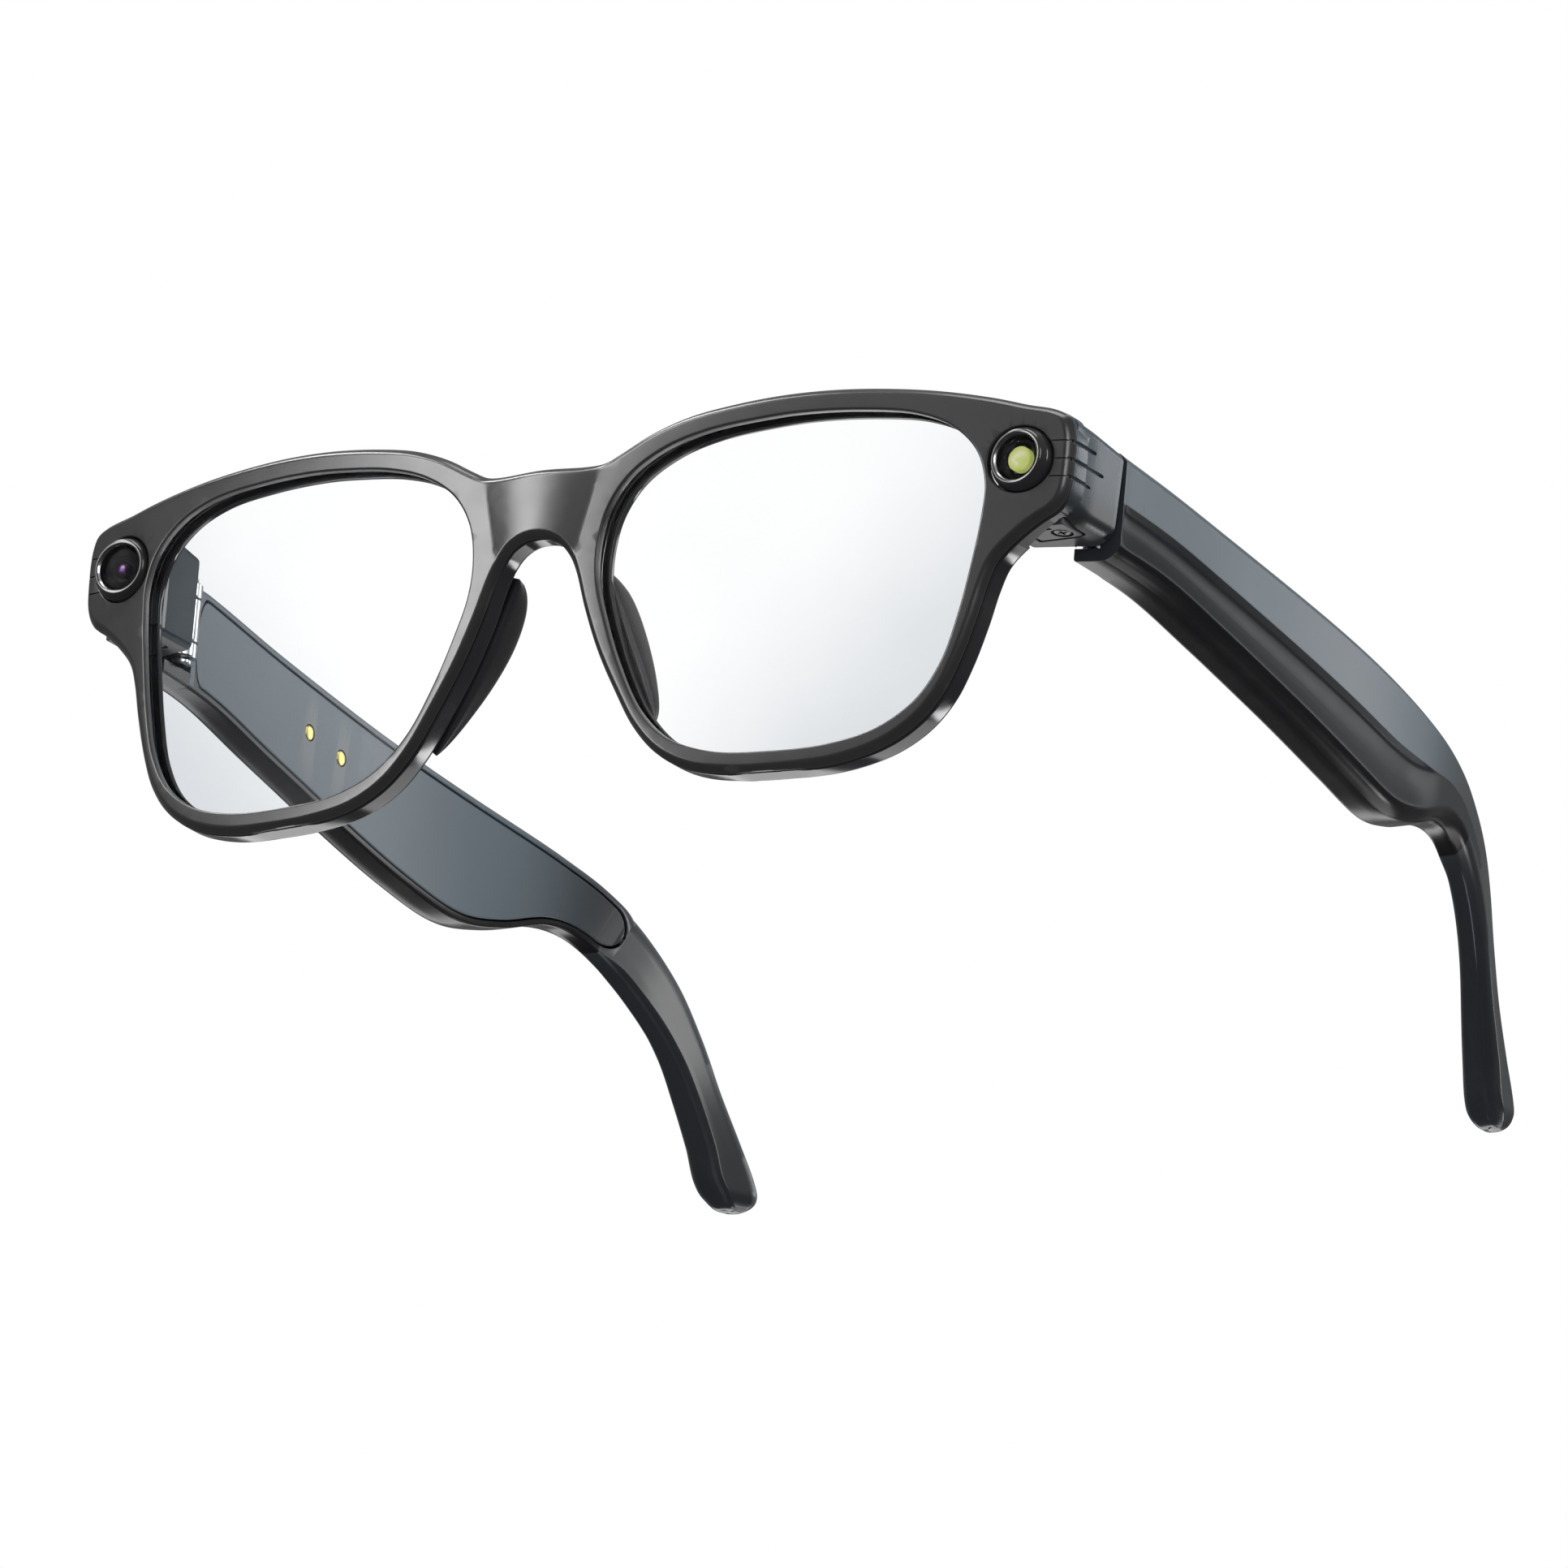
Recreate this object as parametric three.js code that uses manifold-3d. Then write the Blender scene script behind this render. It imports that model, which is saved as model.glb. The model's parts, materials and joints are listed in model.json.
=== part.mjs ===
// Camera smart glasses: a bent front with two lenses, a camera and a light at its ends, and two
// folding temples that hold the electronics. Millimetres, +Z up, +X to the wearer's left, +Y backward.
// Everything is drawn as worn, with the front upright, then tipped so that it stands on its rims and tips.
import * as THREE from 'three';
import { mergeVertices } from 'three/addons/utils/BufferGeometryUtils.js';
import { TessellateModifier } from 'three/addons/modifiers/TessellateModifier.js';
import Module from 'manifold-3d';

const wasm = await Module();
wasm.setup();

// ---- driving dimensions -------------------------------------------------------------------------
const GAP = 0.3;                    // clearance between neighbouring pieces
const FRONT_RADIUS = 340;           // wrap of the front, seen from above
const BRIDGE_BUMP = 0.6;            // how far the bridge stands proud of that wrap
const BRIDGE_HALF = 7.5;            // half width of the bridge facet
const BEZEL = 1.0;                  // thickness of the front cover
const RIM_CHAMFER = 0.7;
const RIM_DEPTH = 4.4;              // front cover to the back of the rim
const LENS_THICKNESS = 1.6;
const LENS_HOLD = 0.8;              // how far a lens reaches under the rim all round

const EYE = { x: 65.5, z: 10.1, face: 5.2, radius: 4.1 };   // camera and light windows
const HOUSING = { inner: 61.2, outer: 72.0, bottom: 2.5, front: 9.2, topFront: 15.8, topRear: 14.4 };
const HOUSING_REAR = { y: 16.7, slope: 0.266 };             // rear wall at the inner edge, and its slant
const CAVITY = { x0: 63.0, x1: 70.6, y1: 15.2, z0: 3.9, z1: 14.4 };
const CABLE = { inset: 1.05, width: 0.7, room: 0.25, thickness: 0.3, back: 1.7 };   // ribbon over the bridge
const GROOVES = [{ z: 12.3, end: 13.4 }, { z: 10.0, end: 15.4 }, { z: 7.75, end: 12.9 }];

const HINGE = { x: 66.5, y: 22.0, radius: 1.9, hole: 1.0, pin: 0.7 };
const KNUCKLES = { low: [3.6, 5.4], middle: [5.7, 11.1], high: [11.4, 13.2] };

const TEMPLE_THICKNESS = 5.6;
const CHANNEL_DEPTH = 0.9;          // scooped channel along the outside of each temple
const COVER_THICKNESS = 1.0;
const WALL = 0.9;
const REST_TILT = Math.atan(6.1 / 134);                     // lens plane from upright when it stands
const REST = { y: 4.0, z: -27.78 };                         // a point of the table, as worn

// ---- outlines: x and z seen from the front, right half; the left half mirrors it ----------------------
const FRONT_HALF = [
  [0, 13.95], [6.2, 13.8], [8.6, 14.1], [11, 15.2], [15, 17.25], [20, 18.95], [26, 20.0], [33, 20.7],
  [40, 20.85], [47, 20.5], [54, 19.75], [61, 18.5], [65.5, 17.4], [69.2, 16.6], [71.0, 15.6],
  [71.8, 13.6], [72, 9.5], [71.6, 5.6], [70.4, 3.6], [68.3, 2.2], [65.5, -0.1], [63.4, -2.5],
  [62.3, -5.4], [61.2, -9.8], [59.6, -15], [57.7, -19.3], [54.8, -22.9], [50.5, -25.7], [44.5, -27.45],
  [37.5, -27.95], [30.5, -27.8], [24.5, -26.8], [19.7, -24.4], [16.0, -20.7], [12.8, -15.6],
  [9.8, -10.1], [7.4, -4.4], [5.8, 0.2], [4.7, 2.5], [3.4, 3.95], [1.8, 4.75], [0, 5.0],
];
const LENS_OPENING = [
  [36, 17.9], [30, 17.5], [23, 16.55], [17.5, 14.85], [12.9, 11.9], [10.2, 7.9], [9.2, 3.0], [9.5, -1.5],
  [11.0, -6.3], [13.5, -12.4], [16.9, -18.4], [21.3, -22.5], [27.5, -24.8], [35, -25.35], [43, -25.0],
  [49.6, -23.3], [54.4, -20.0], [57.3, -15.4], [59, -9.5], [60.2, -3.0], [61.0, 3.0], [61.1, 7.4],
  [59.7, 11.5], [56.3, 14.8], [51.3, 16.8], [44, 17.7],
];
// Temple outline: y and z of its upper and lower edge, in pairs from the hinge to the tip.
const TEMPLE_TOP = [
  [16, 14.9], [30, 13.45], [44, 11.6], [60, 9.65], [76, 7.75], [86, 6.5], [96, 5.1], [105, 3.55],
  [112.5, 1.6], [119, -1.8], [124.8, -7.2], [129.2, -13.6], [132.7, -19.8], [136.4, -25.2],
  [139.6, -29.6], [140.5, -32.2], [139.2, -33.8],
];
const TEMPLE_BOTTOM = [
  [16, 0.9], [30, 0.1], [44, -2.55], [60, -5.75], [76, -8.9], [86.5, -10.3], [94.5, -8.9], [102.5, -6.1],
  [108.8, -5.9], [115.2, -8.5], [120.9, -12.6], [125.2, -17.2], [128.3, -22.2], [130.9, -27.2],
  [132.6, -31.0], [134.8, -33.2], [137, -34.0],
];

// ---- helpers --------------------------------------------------------------------------------------
function bare(geometry) {
  const plain = geometry.clone();
  plain.deleteAttribute('normal');
  plain.deleteAttribute('uv');
  return mergeVertices(plain, 1e-4);
}

function toSolid(geometry) {
  const merged = bare(geometry);
  return new wasm.Manifold(new wasm.Mesh({
    numProp: 3,
    vertProperties: merged.attributes.position.array,
    triVerts: Uint32Array.from(merged.index.array),
  }));
}

function toGeometry(solid) {
  const mesh = solid.getMesh();
  const geometry = new THREE.BufferGeometry();
  geometry.setAttribute('position', new THREE.BufferAttribute(Float32Array.from(mesh.vertProperties), 3));
  geometry.setIndex(new THREE.BufferAttribute(Uint32Array.from(mesh.triVerts), 1));
  return geometry;
}

function cut(geometry, ...tools) {
  return toGeometry(tools.reduce((solid, tool) => solid.subtract(toSolid(tool)), toSolid(geometry)));
}

function join(geometry, ...others) {
  return toGeometry(others.reduce((solid, other) => solid.add(toSolid(other)), toSolid(geometry)));
}

function flip(geometry) {
  const index = geometry.index.array;
  for (let i = 0; i < index.length; i += 3) {
    [index[i], index[i + 1]] = [index[i + 1], index[i]];
  }
  return geometry;
}

function mirror(geometry) {
  return flip(bare(geometry).scale(-1, 1, 1));
}

function movePoints(geometry, place) {
  const points = geometry.attributes.position;
  const p = new THREE.Vector3();
  for (let i = 0; i < points.count; i++) {
    place(p.fromBufferAttribute(points, i));
    points.setXYZ(i, p.x, p.y, p.z);
  }
  return geometry;
}

function box(x0, x1, y0, y1, z0, z1) {
  const geometry = new THREE.BoxGeometry(x1 - x0, y1 - y0, z1 - z0);
  return geometry.translate((x0 + x1) / 2, (y0 + y1) / 2, (z0 + z1) / 2);
}

function post(x, y, z0, z1, radius, sides = 16) {
  const geometry = new THREE.CylinderGeometry(radius, radius, z1 - z0, sides);
  return geometry.rotateX(Math.PI / 2).translate(x, y, (z0 + z1) / 2);
}

// A turned piece on the axis of a camera or light window: profile of [radius, y], closed or on the axis.
function turned(profile, sides = 20) {
  const points = profile.map(([radius, y]) => new THREE.Vector2(radius, y));
  return outward(bare(new THREE.LatheGeometry(points, sides)).translate(EYE.x, 0, EYE.z));
}

function outward(geometry) {
  const points = geometry.attributes.position;
  const index = geometry.index.array;
  const [a, b, c] = [new THREE.Vector3(), new THREE.Vector3(), new THREE.Vector3()];
  let volume = 0;
  for (let i = 0; i < index.length; i += 3) {
    a.fromBufferAttribute(points, index[i]);
    b.fromBufferAttribute(points, index[i + 1]);
    c.fromBufferAttribute(points, index[i + 2]);
    volume += a.dot(b.cross(c));
  }
  return volume < 0 ? flip(geometry) : geometry;
}

// A closed body through rings of points, with a fan over each end.
function loft(rings) {
  const count = rings[0].length;
  const ends = [rings[0], rings[rings.length - 1]].map((ring) =>
    ring.reduce((sum, p) => sum.add(p), new THREE.Vector3()).divideScalar(count));
  const positions = [...rings.flat(), ...ends].flatMap((p) => p.toArray());
  const index = [];
  const last = (rings.length - 1) * count;
  for (let j = 0; j < count; j++) {
    const k = (j + 1) % count;
    for (let i = 0; i < last; i += count) {
      index.push(i + j, i + k, i + count + j, i + k, i + count + k, i + count + j);
    }
    index.push(last + count, k, j, last + count + 1, last + j, last + k);
  }
  const geometry = new THREE.BufferGeometry();
  geometry.setAttribute('position', new THREE.Float32BufferAttribute(positions, 3));
  geometry.setIndex(index);
  return outward(geometry);
}

function smooth(points, count) {
  const curve = new THREE.CatmullRomCurve3(points.map(([x, z]) => new THREE.Vector3(x, z, 0)), true, 'centripetal');
  return curve.getSpacedPoints(count).slice(0, count).map((p) => new THREE.Vector2(p.x, p.y));
}

function grow(points, distance) {
  const turn = Math.sign(THREE.ShapeUtils.area(points));
  return points.map((p, i) => {
    const before = points[(i + points.length - 1) % points.length];
    const along = points[(i + 1) % points.length].clone().sub(before).normalize();
    return new THREE.Vector2(p.x + along.y * distance * turn, p.y - along.x * distance * turn);
  });
}

// A flat plate between two depths behind the front; the chamfer runs round both of its faces.
function plate(points, front, back, chamfer = 0) {
  const geometry = new THREE.ExtrudeGeometry(new THREE.Shape(points), {
    depth: back - front - 2 * chamfer,
    bevelEnabled: chamfer > 0,
    bevelSegments: 1,
    bevelSize: chamfer,
    bevelThickness: chamfer,
    bevelOffset: -chamfer,
  });
  return geometry.rotateX(Math.PI / 2).translate(0, back - chamfer, 0);
}

function frontDepth(x) {
  const bump = Math.max(0, 1 - (x / BRIDGE_HALF) ** 2);
  return x * x / (2 * FRONT_RADIUS) - BRIDGE_BUMP * bump;
}

function bend(geometry, longest = 8) {
  const loose = geometry.index ? geometry.toNonIndexed() : geometry;
  const fine = new TessellateModifier(longest, 8).modify(loose);
  return bare(movePoints(fine, (p) => p.setY(p.y + frontDepth(p.x))));
}

function step(t) {
  const u = THREE.MathUtils.clamp(t, 0, 1);
  return u * u * (3 - 2 * u);
}

function tableTool() {
  const block = new THREE.BoxGeometry(400, 400, 20);
  block.translate(0, 0, -10).rotateX(-REST_TILT);
  return block.translate(0, REST.y, REST.z);
}

// ---- materials ------------------------------------------------------------------------------------
function finish(color, roughness, metalness = 0, extra = {}) {
  return new THREE.MeshStandardMaterial({ color, roughness, metalness, ...extra });
}

const satin = finish(0x3b3a3c, 0.42);
const gloss = finish(0x151416, 0.2);
const slate = finish(0x56616b, 0.45);
const steel = finish(0xb9bcc0, 0.3, 0.9);
const blackMetal = finish(0x202124, 0.3, 0.6);
const clear = finish(0xe6ebee, 0.05, 0, { transparent: true, opacity: 0.25 });
const smoke = finish(0x1a1b20, 0.08);
const gold = finish(0xd8c24a, 0.3, 1);
const phosphor = finish(0xd4e157, 0.5);
const board = finish(0x1f5a3a, 0.6);
const cell = finish(0x9aa3ad, 0.5, 0.4);
const kapton = finish(0xb5651d, 0.5);

const front = new THREE.Group();
const templeLeft = new THREE.Group();
const templeRight = new THREE.Group();

function piece(group, name, geometry, material) {
  const mesh = new THREE.Mesh(geometry, material);
  mesh.name = name;
  group.add(mesh);
}

// The same piece on both sides of the front, drawn for the wearer's left.
function bothSides(name, geometry, material) {
  piece(front, `${name}_left`, geometry, material);
  piece(front, `${name}_right`, mirror(geometry), material);
}

// ---- front cover and frame ------------------------------------------------------------------------
const frontOutline = smooth(
  [...FRONT_HALF, ...FRONT_HALF.slice(1, -1).reverse().map(([x, z]) => [-x, z])], 132);
const opening = smooth(LENS_OPENING, 48);

function openings(spread, y0, y1) {
  const right = plate(grow(opening, spread), y0, y1);
  return [right, mirror(right)];
}

function eyeHole(radius) {
  const hole = new THREE.CylinderGeometry(radius, radius, 12, 32).translate(EYE.x, 0, EYE.z);
  return [hole, mirror(hole)];
}

function grooveTools() {
  const tools = [];
  for (const { z, end } of GROOVES) {
    const side = box(71.6, 74, 3, end, z - 0.22, z + 0.22);
    const face = box(69.6, 74, 0, frontDepth(70.6) + 0.25, z - 0.22, z + 0.22);
    tools.push(side, mirror(side), face, mirror(face));
  }
  return tools;
}

function makeBezel() {
  const slab = plate(frontOutline, 0, 4, RIM_CHAMFER);
  const flat = cut(slab, box(-90, 90, BEZEL, 6, -40, 40), ...openings(0, -1, 5), ...eyeHole(EYE.radius + GAP));
  return cut(bend(flat), tableTool(), ...grooveTools());
}

// The cable's run along the top of the rims, down into a housing at each end, as a band of one width.
function cableBand(width, reach) {
  const rim = grow(frontOutline, -CABLE.inset).filter((p) => Math.abs(p.x) < 57 && p.y > 10);
  rim.sort((a, b) => a.x - b.x);
  const ends = [[reach, CAVITY.z1 - 1.4], [61.6, 15.2]];
  const line = [...ends.map(([x, z]) => new THREE.Vector2(-x, z)), ...rim,
    ...ends.reverse().map(([x, z]) => new THREE.Vector2(x, z))];
  const sides = [width / 2, -width / 2].map((off) => line.map((p, i) => {
    const before = line[Math.max(0, i - 1)];
    const along = line[Math.min(line.length - 1, i + 1)].clone().sub(before).normalize();
    return new THREE.Vector2(p.x - along.y * off, p.y + along.x * off);
  }));
  return [...sides[0], ...sides[1].reverse()];
}

function housingRing(y, margin = 0) {
  const lean = (y - HOUSING.front) / (HOUSING_REAR.y - HOUSING.front + 3);
  const top = THREE.MathUtils.lerp(HOUSING.topFront, HOUSING.topRear, lean) - margin;
  const [x0, x1, z0] = [HOUSING.inner + margin, HOUSING.outer - margin, HOUSING.bottom + margin];
  const corners = [[x1, z0, 2.4, -90], [x1, top, 1.4, 0], [x0, top, 0.8, 90], [x0, z0, 0.8, 180]];
  return corners.flatMap(([x, z, radius, start]) => [0, 1, 2, 3].map((i) => {
    const angle = THREE.MathUtils.degToRad(start + i * 30);
    const cx = x === x1 ? x - radius : x + radius;
    const cz = z === top ? z - radius : z + radius;
    return new THREE.Vector3(cx + radius * Math.cos(angle), y, cz + radius * Math.sin(angle));
  }));
}

// Everything behind the housing's slanted rear wall, moved back by a distance.
function behindHousing(distance) {
  const block = box(40, 90, 0, 60, -60, 60);
  return movePoints(block, (p) => {
    p.y += HOUSING_REAR.y + (p.x - HOUSING.inner) * HOUSING_REAR.slope + distance;
  });
}

const SCREW = { x: 68.0, y: 13.2, head: 1.1, shaft: 0.55 };
const HATCH = { x0: 63.9, x1: 69.9, y0: 10.1, y1: 14.9, top: 3.6 };

function makeFrame() {
  const slab = plate(frontOutline, -1, RIM_DEPTH, 0.5);
  const seat = LENS_HOLD + GAP;
  const lensBack = BEZEL + GAP + LENS_THICKNESS;
  const flat = cut(slab, box(-90, 90, -3, BEZEL + GAP, -40, 40),
    ...openings(seat, 0, lensBack + GAP), ...openings(0, 0, 6),
    plate(cableBand(CABLE.width + 2 * CABLE.room, 65), 0, CABLE.back + GAP));
  const rims = bend(flat);

  const shell = cut(loft([HOUSING.front, 24].map((y) => housingRing(y))), behindHousing(0));
  const hollow = box(CAVITY.x0, CAVITY.x1, 3, CAVITY.y1, CAVITY.z0, CAVITY.z1);
  const boss = box(SCREW.x - 1.5, SCREW.x + 1.5, 11.8, CAVITY.y1 + 0.2, CAVITY.z0 - 0.2, 7.2);
  const hatch = box(HATCH.x0 - GAP, HATCH.x1 + GAP, HATCH.y0 - GAP, HATCH.y1 + GAP, 0, HATCH.top + GAP);
  const screwHole = post(SCREW.x, SCREW.y, 0, 6.9, SCREW.shaft + GAP, 16);
  const hingeSlot = box(HINGE.x - 1.3, HINGE.x + 1.3, 16.0, 30, KNUCKLES.low[0] - GAP, KNUCKLES.high[1] + GAP);
  let frame = join(rims, shell, mirror(shell));
  for (const side of [(g) => g, mirror]) {
    frame = cut(frame, side(hollow));
    frame = join(frame, side(cut(boss, hatch)));
    frame = cut(frame, side(hatch), side(screwHole), side(hingeSlot));
  }
  return cut(frame, tableTool(), ...grooveTools());
}

function makeLens() {
  const y0 = BEZEL + GAP;
  return bend(plate(grow(opening, LENS_HOLD), y0, y0 + LENS_THICKNESS, 0.3), 7);
}

function makeFlex() {
  return bend(plate(cableBand(CABLE.width, 64.4), CABLE.back - CABLE.thickness, CABLE.back));
}

// A soft pad behind the nasal side of a rim: deepest in the middle, faired into the rim at both ends.
function makeNosePad() {
  const edge = new THREE.SplineCurve(
    [[4.9, 2.6], [6.0, -1.0], [8.2, -6.9], [11.2, -13.1], [14.4, -18.6], [16.9, -21.6]]
      .map(([x, z]) => new THREE.Vector2(x, z)));
  const rings = [];
  const steps = 14;
  for (let i = 0; i <= steps; i++) {
    const t = 0.06 + 0.8 * i / steps;
    const at = edge.getPoint(t);
    const along = edge.getTangent(t);
    const down = i / steps;
    const depth = 0.4 + 5.4 * Math.sin(Math.PI * down ** 0.66) ** 0.85;
    const width = 0.8 + 2.8 * Math.sin(Math.PI * down) ** 0.45;
    const section = [[0, 0], [0.02, 0.35], [0.1, 0.62], [0.3, 0.88], [0.55, 1], [0.8, 0.93], [0.95, 0.7],
      [1, 0.4], [1, 0]];
    rings.push(section.map(([n, d]) => {
      const off = 0.1 + n * width;
      const x = at.x - along.y * off;
      const z = at.y + along.x * off;
      return new THREE.Vector3(x, frontDepth(at.x) + RIM_DEPTH + GAP + 0.15 + d * depth, z);
    }));
  }
  return loft(rings);
}

piece(front, 'front_bezel', makeBezel(), satin);
piece(front, 'main_frame', makeFrame(), gloss);
bothSides('lens', makeLens(), clear);
bothSides('nose_pad', makeNosePad(), gloss);
piece(front, 'bridge_flex_cable', makeFlex(), kapton);

// ---- camera and light windows ----------------------------------------------------------------------
const ringProfile = [[2.95, EYE.face + 0.15], [3.2, EYE.face], [3.45, EYE.face + 0.15], [3.95, 6.2],
  [EYE.radius, 6.5], [2.95, 6.5], [2.95, EYE.face + 0.15]];
const glassProfile = [[0, 5.45], [2.65, 5.45], [2.65, 6.0], [0, 6.0]];

piece(front, 'light_ring_left', turned(ringProfile), blackMetal);
piece(front, 'light_glass_left', turned(glassProfile), clear);
piece(front, 'light_mask_left', turned([[2.1, 6.3], [2.6, 6.3], [2.6, 6.75], [2.1, 6.75], [2.1, 6.3]]), smoke);
piece(front, 'light_emitter_left', turned([[0, 6.3], [1.2, 6.35], [1.8, 6.5], [1.8, 7.1], [0, 7.1]]), phosphor);
piece(front, 'light_board_left',
  join(box(63.3, 69.0, 8.9, 9.7, 6.9, 13.0), box(64.1, 66.9, 7.4, 9.0, 8.7, 11.5)), board);

piece(front, 'camera_ring_right', mirror(turned(ringProfile)), blackMetal);
piece(front, 'camera_glass_right', mirror(turned(glassProfile)), clear);
piece(front, 'camera_barrel_right', mirror(turned([[1.15, 6.9], [1.6, 6.4], [2.6, 6.3], [2.6, 6.7],
  [2.15, 6.7], [2.15, 8.5], [1.15, 8.5], [1.15, 6.9]])), smoke);
piece(front, 'camera_lens_right',
  mirror(turned([[0, 6.75], [0.5, 6.85], [0.85, 7.15], [0.85, 8.4], [0, 8.4]])), smoke);
piece(front, 'camera_sensor_right', mirror(
  join(box(63.3, 69.0, 8.9, 9.7, 6.9, 13.0), box(63.4, 67.6, 9.6, 11.4, 8.0, 12.2))), board);

// ---- housing hatches, screws and hinges ---------------------------------------------------------------
function makeHatch() {
  const lid = box(HATCH.x0, HATCH.x1, HATCH.y0, HATCH.y1, HOUSING.bottom + 0.05, HATCH.top);
  const slot = box(65.2, 67.6, 11.0, 11.6, 0, 6);
  return cut(lid, slot, post(SCREW.x, SCREW.y, 0, 6, SCREW.shaft + GAP, 16),
    post(SCREW.x, SCREW.y, 0, 3.0, SCREW.head + GAP, 24));
}

function makeScrew() {
  const body = join(post(SCREW.x, SCREW.y, HOUSING.bottom + 0.1, 2.75, SCREW.head),
    post(SCREW.x, SCREW.y, 2.6, 6.5, SCREW.shaft, 16));
  const arm = (a, b) => box(SCREW.x - a, SCREW.x + a, SCREW.y - b, SCREW.y + b, 0, HOUSING.bottom + 0.35);
  return cut(body, arm(0.7, 0.18), arm(0.18, 0.7));
}

function makeFrontHinge() {
  const { x, y, radius, hole } = HINGE;
  const leaf = box(x - 1, x + 1, 16.3, 18.4, KNUCKLES.low[0], KNUCKLES.high[1]);
  const arms = [KNUCKLES.low, KNUCKLES.high].flatMap(([z0, z1]) =>
    [box(x - 1, x + 1, 18.3, y, z0, z1), post(x, y, z0, z1, radius)]);
  return cut(join(leaf, ...arms), post(x, y, 0, 20, hole, 20));
}

function makePin() {
  const { x, y, pin } = HINGE;
  const [bottom, top] = [KNUCKLES.low[0] - GAP, KNUCKLES.high[1] + GAP];
  return join(post(x, y, bottom - 0.4, top + 0.4, pin, 20),
    post(x, y, bottom - 0.5, bottom, 1.3, 20), post(x, y, top, top + 0.5, 1.3, 20));
}

bothSides('housing_hatch', makeHatch(), satin);
bothSides('hatch_screw', makeScrew(), steel);
bothSides('front_hinge', makeFrontHinge(), steel);
bothSides('hinge_pin', makePin(), steel);

// ---- temples, drawn for the wearer's left -----------------------------------------------------------------
const topEdge = new THREE.SplineCurve(TEMPLE_TOP.map(([y, z]) => new THREE.Vector2(y, z)));
const bottomEdge = new THREE.SplineCurve(TEMPLE_BOTTOM.map(([y, z]) => new THREE.Vector2(y, z)));
const LAST = TEMPLE_TOP.length - 1;

// The middle of the temple, seen from above: nearly straight, then turned in behind the ear.
const TEMPLE_PATH = new THREE.CubicInterpolant(
  [0, 20, 48, 75, 92, 106, 119, 131, 142, 150], [68.9, 69.3, 70.1, 69.8, 68.2, 65.7, 62.1, 58.0, 55.7, 54.6], 1);

function templeMiddle(y) {
  return TEMPLE_PATH.evaluate(y)[0];
}

function templeThickness(at) {
  const neck = step((at - 6) / 2.5) * 1.4;
  const tip = step((at - 10.5) / 3) * 0.9;
  const end = step((at - LAST + 1.6) / 1.6) * 2.0;
  return TEMPLE_THICKNESS - neck + tip - end;
}

// Rings of a body inside the temple: section(height, thickness, at) gives [outward, up] points.
function templeBody(section, from, to, perStep = 2) {
  const rings = [];
  const steps = Math.round((to - from) * perStep);
  for (let i = 0; i <= steps; i++) {
    const at = from + (to - from) * i / steps;
    const low = bottomEdge.getPoint(at / LAST);
    const high = topEdge.getPoint(at / LAST);
    const height = low.distanceTo(high);
    rings.push(section(height, templeThickness(at), at).map(([n, v]) => {
      const p = low.clone().lerp(high, v / height);
      return new THREE.Vector3(templeMiddle(p.x) + n, p.x, p.y);
    }));
  }
  return loft(rings);
}

function shellSection(height, thickness, at) {
  const half = thickness / 2;
  const channel = CHANNEL_DEPTH * step((at - 0.35) * 3) * (1 - step((at - 5.6) / 1.2));
  const round = Math.min(1, height / 6);
  const crease = height * 0.54;
  const ridge = Math.min(2.0, height * 0.34);
  return [
    [-half + 0.7 * round, height], [half - 1.0 * round, height], [half - 0.25 * round, height - 0.35 * round],
    [half, height - 1.1 * round], [half, crease], [half - channel, crease - 0.5 * round],
    [half - 0.4 * channel, (crease + ridge) / 2 - 0.2], [half, ridge], [half - 0.45 * round, ridge * 0.5],
    [half - 1.5 * round, 0.15 * round], [0, 0], [-half + 0.8 * round, 0], [-half + 0.15 * round, 0.25 * round],
    [-half, 0.9 * round], [-half, height - 0.7 * round], [-half + 0.2 * round, height - 0.2 * round],
  ];
}

const COVER_END = 8.75;
function roundedEnd(at, start) {
  const [head, tail] = [(at - start) / 0.12, (COVER_END - at) / 0.42];
  return Math.sqrt(1 - (1 - THREE.MathUtils.clamp(Math.min(head, tail), 0, 1)) ** 2);
}

function slabSection(n0, n1, inset, start) {
  return (height, thickness, at) => {
    const half = (height / 2 - inset) * Math.max(0.35, roundedEnd(at, start));
    const middle = height / 2;
    const shift = thickness / 2 - TEMPLE_THICKNESS / 2;
    return [[n0 - shift, middle - half], [n1 - Math.max(0, -shift), middle - half],
      [n1 - Math.max(0, -shift), middle + half], [n0 - shift, middle + half]];
  };
}

const HALF = TEMPLE_THICKNESS / 2;
const INNER_WALL = 0.9;             // outward side of the pocket, from the temple's middle

// A block on the temple's middle line, turned to its slope there.
function inTemple(y, length, width, n0, n1, lift = 0) {
  const at = Array.from({ length: 161 }, (_, i) => i * COVER_END / 160).reduce((best, u) => {
    const off = (v) => Math.abs((topEdge.getPoint(v / LAST).x + bottomEdge.getPoint(v / LAST).x) / 2 - y);
    return off(u) < off(best) ? u : best;
  }, 0);
  const [high, low] = [topEdge.getPoint(at / LAST), bottomEdge.getPoint(at / LAST)];
  const along = topEdge.getTangent(at / LAST);
  const slope = Math.atan2(along.y, along.x);
  const turn = Math.atan(templeMiddle(y + 1) - templeMiddle(y - 1)) / 2;
  const block = box(n0, n1, -length / 2, length / 2, -width / 2, width / 2);
  block.rotateX(slope).rotateZ(-turn);
  return block.translate(templeMiddle(y), y, (high.y + low.y) / 2 + lift);
}

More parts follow.
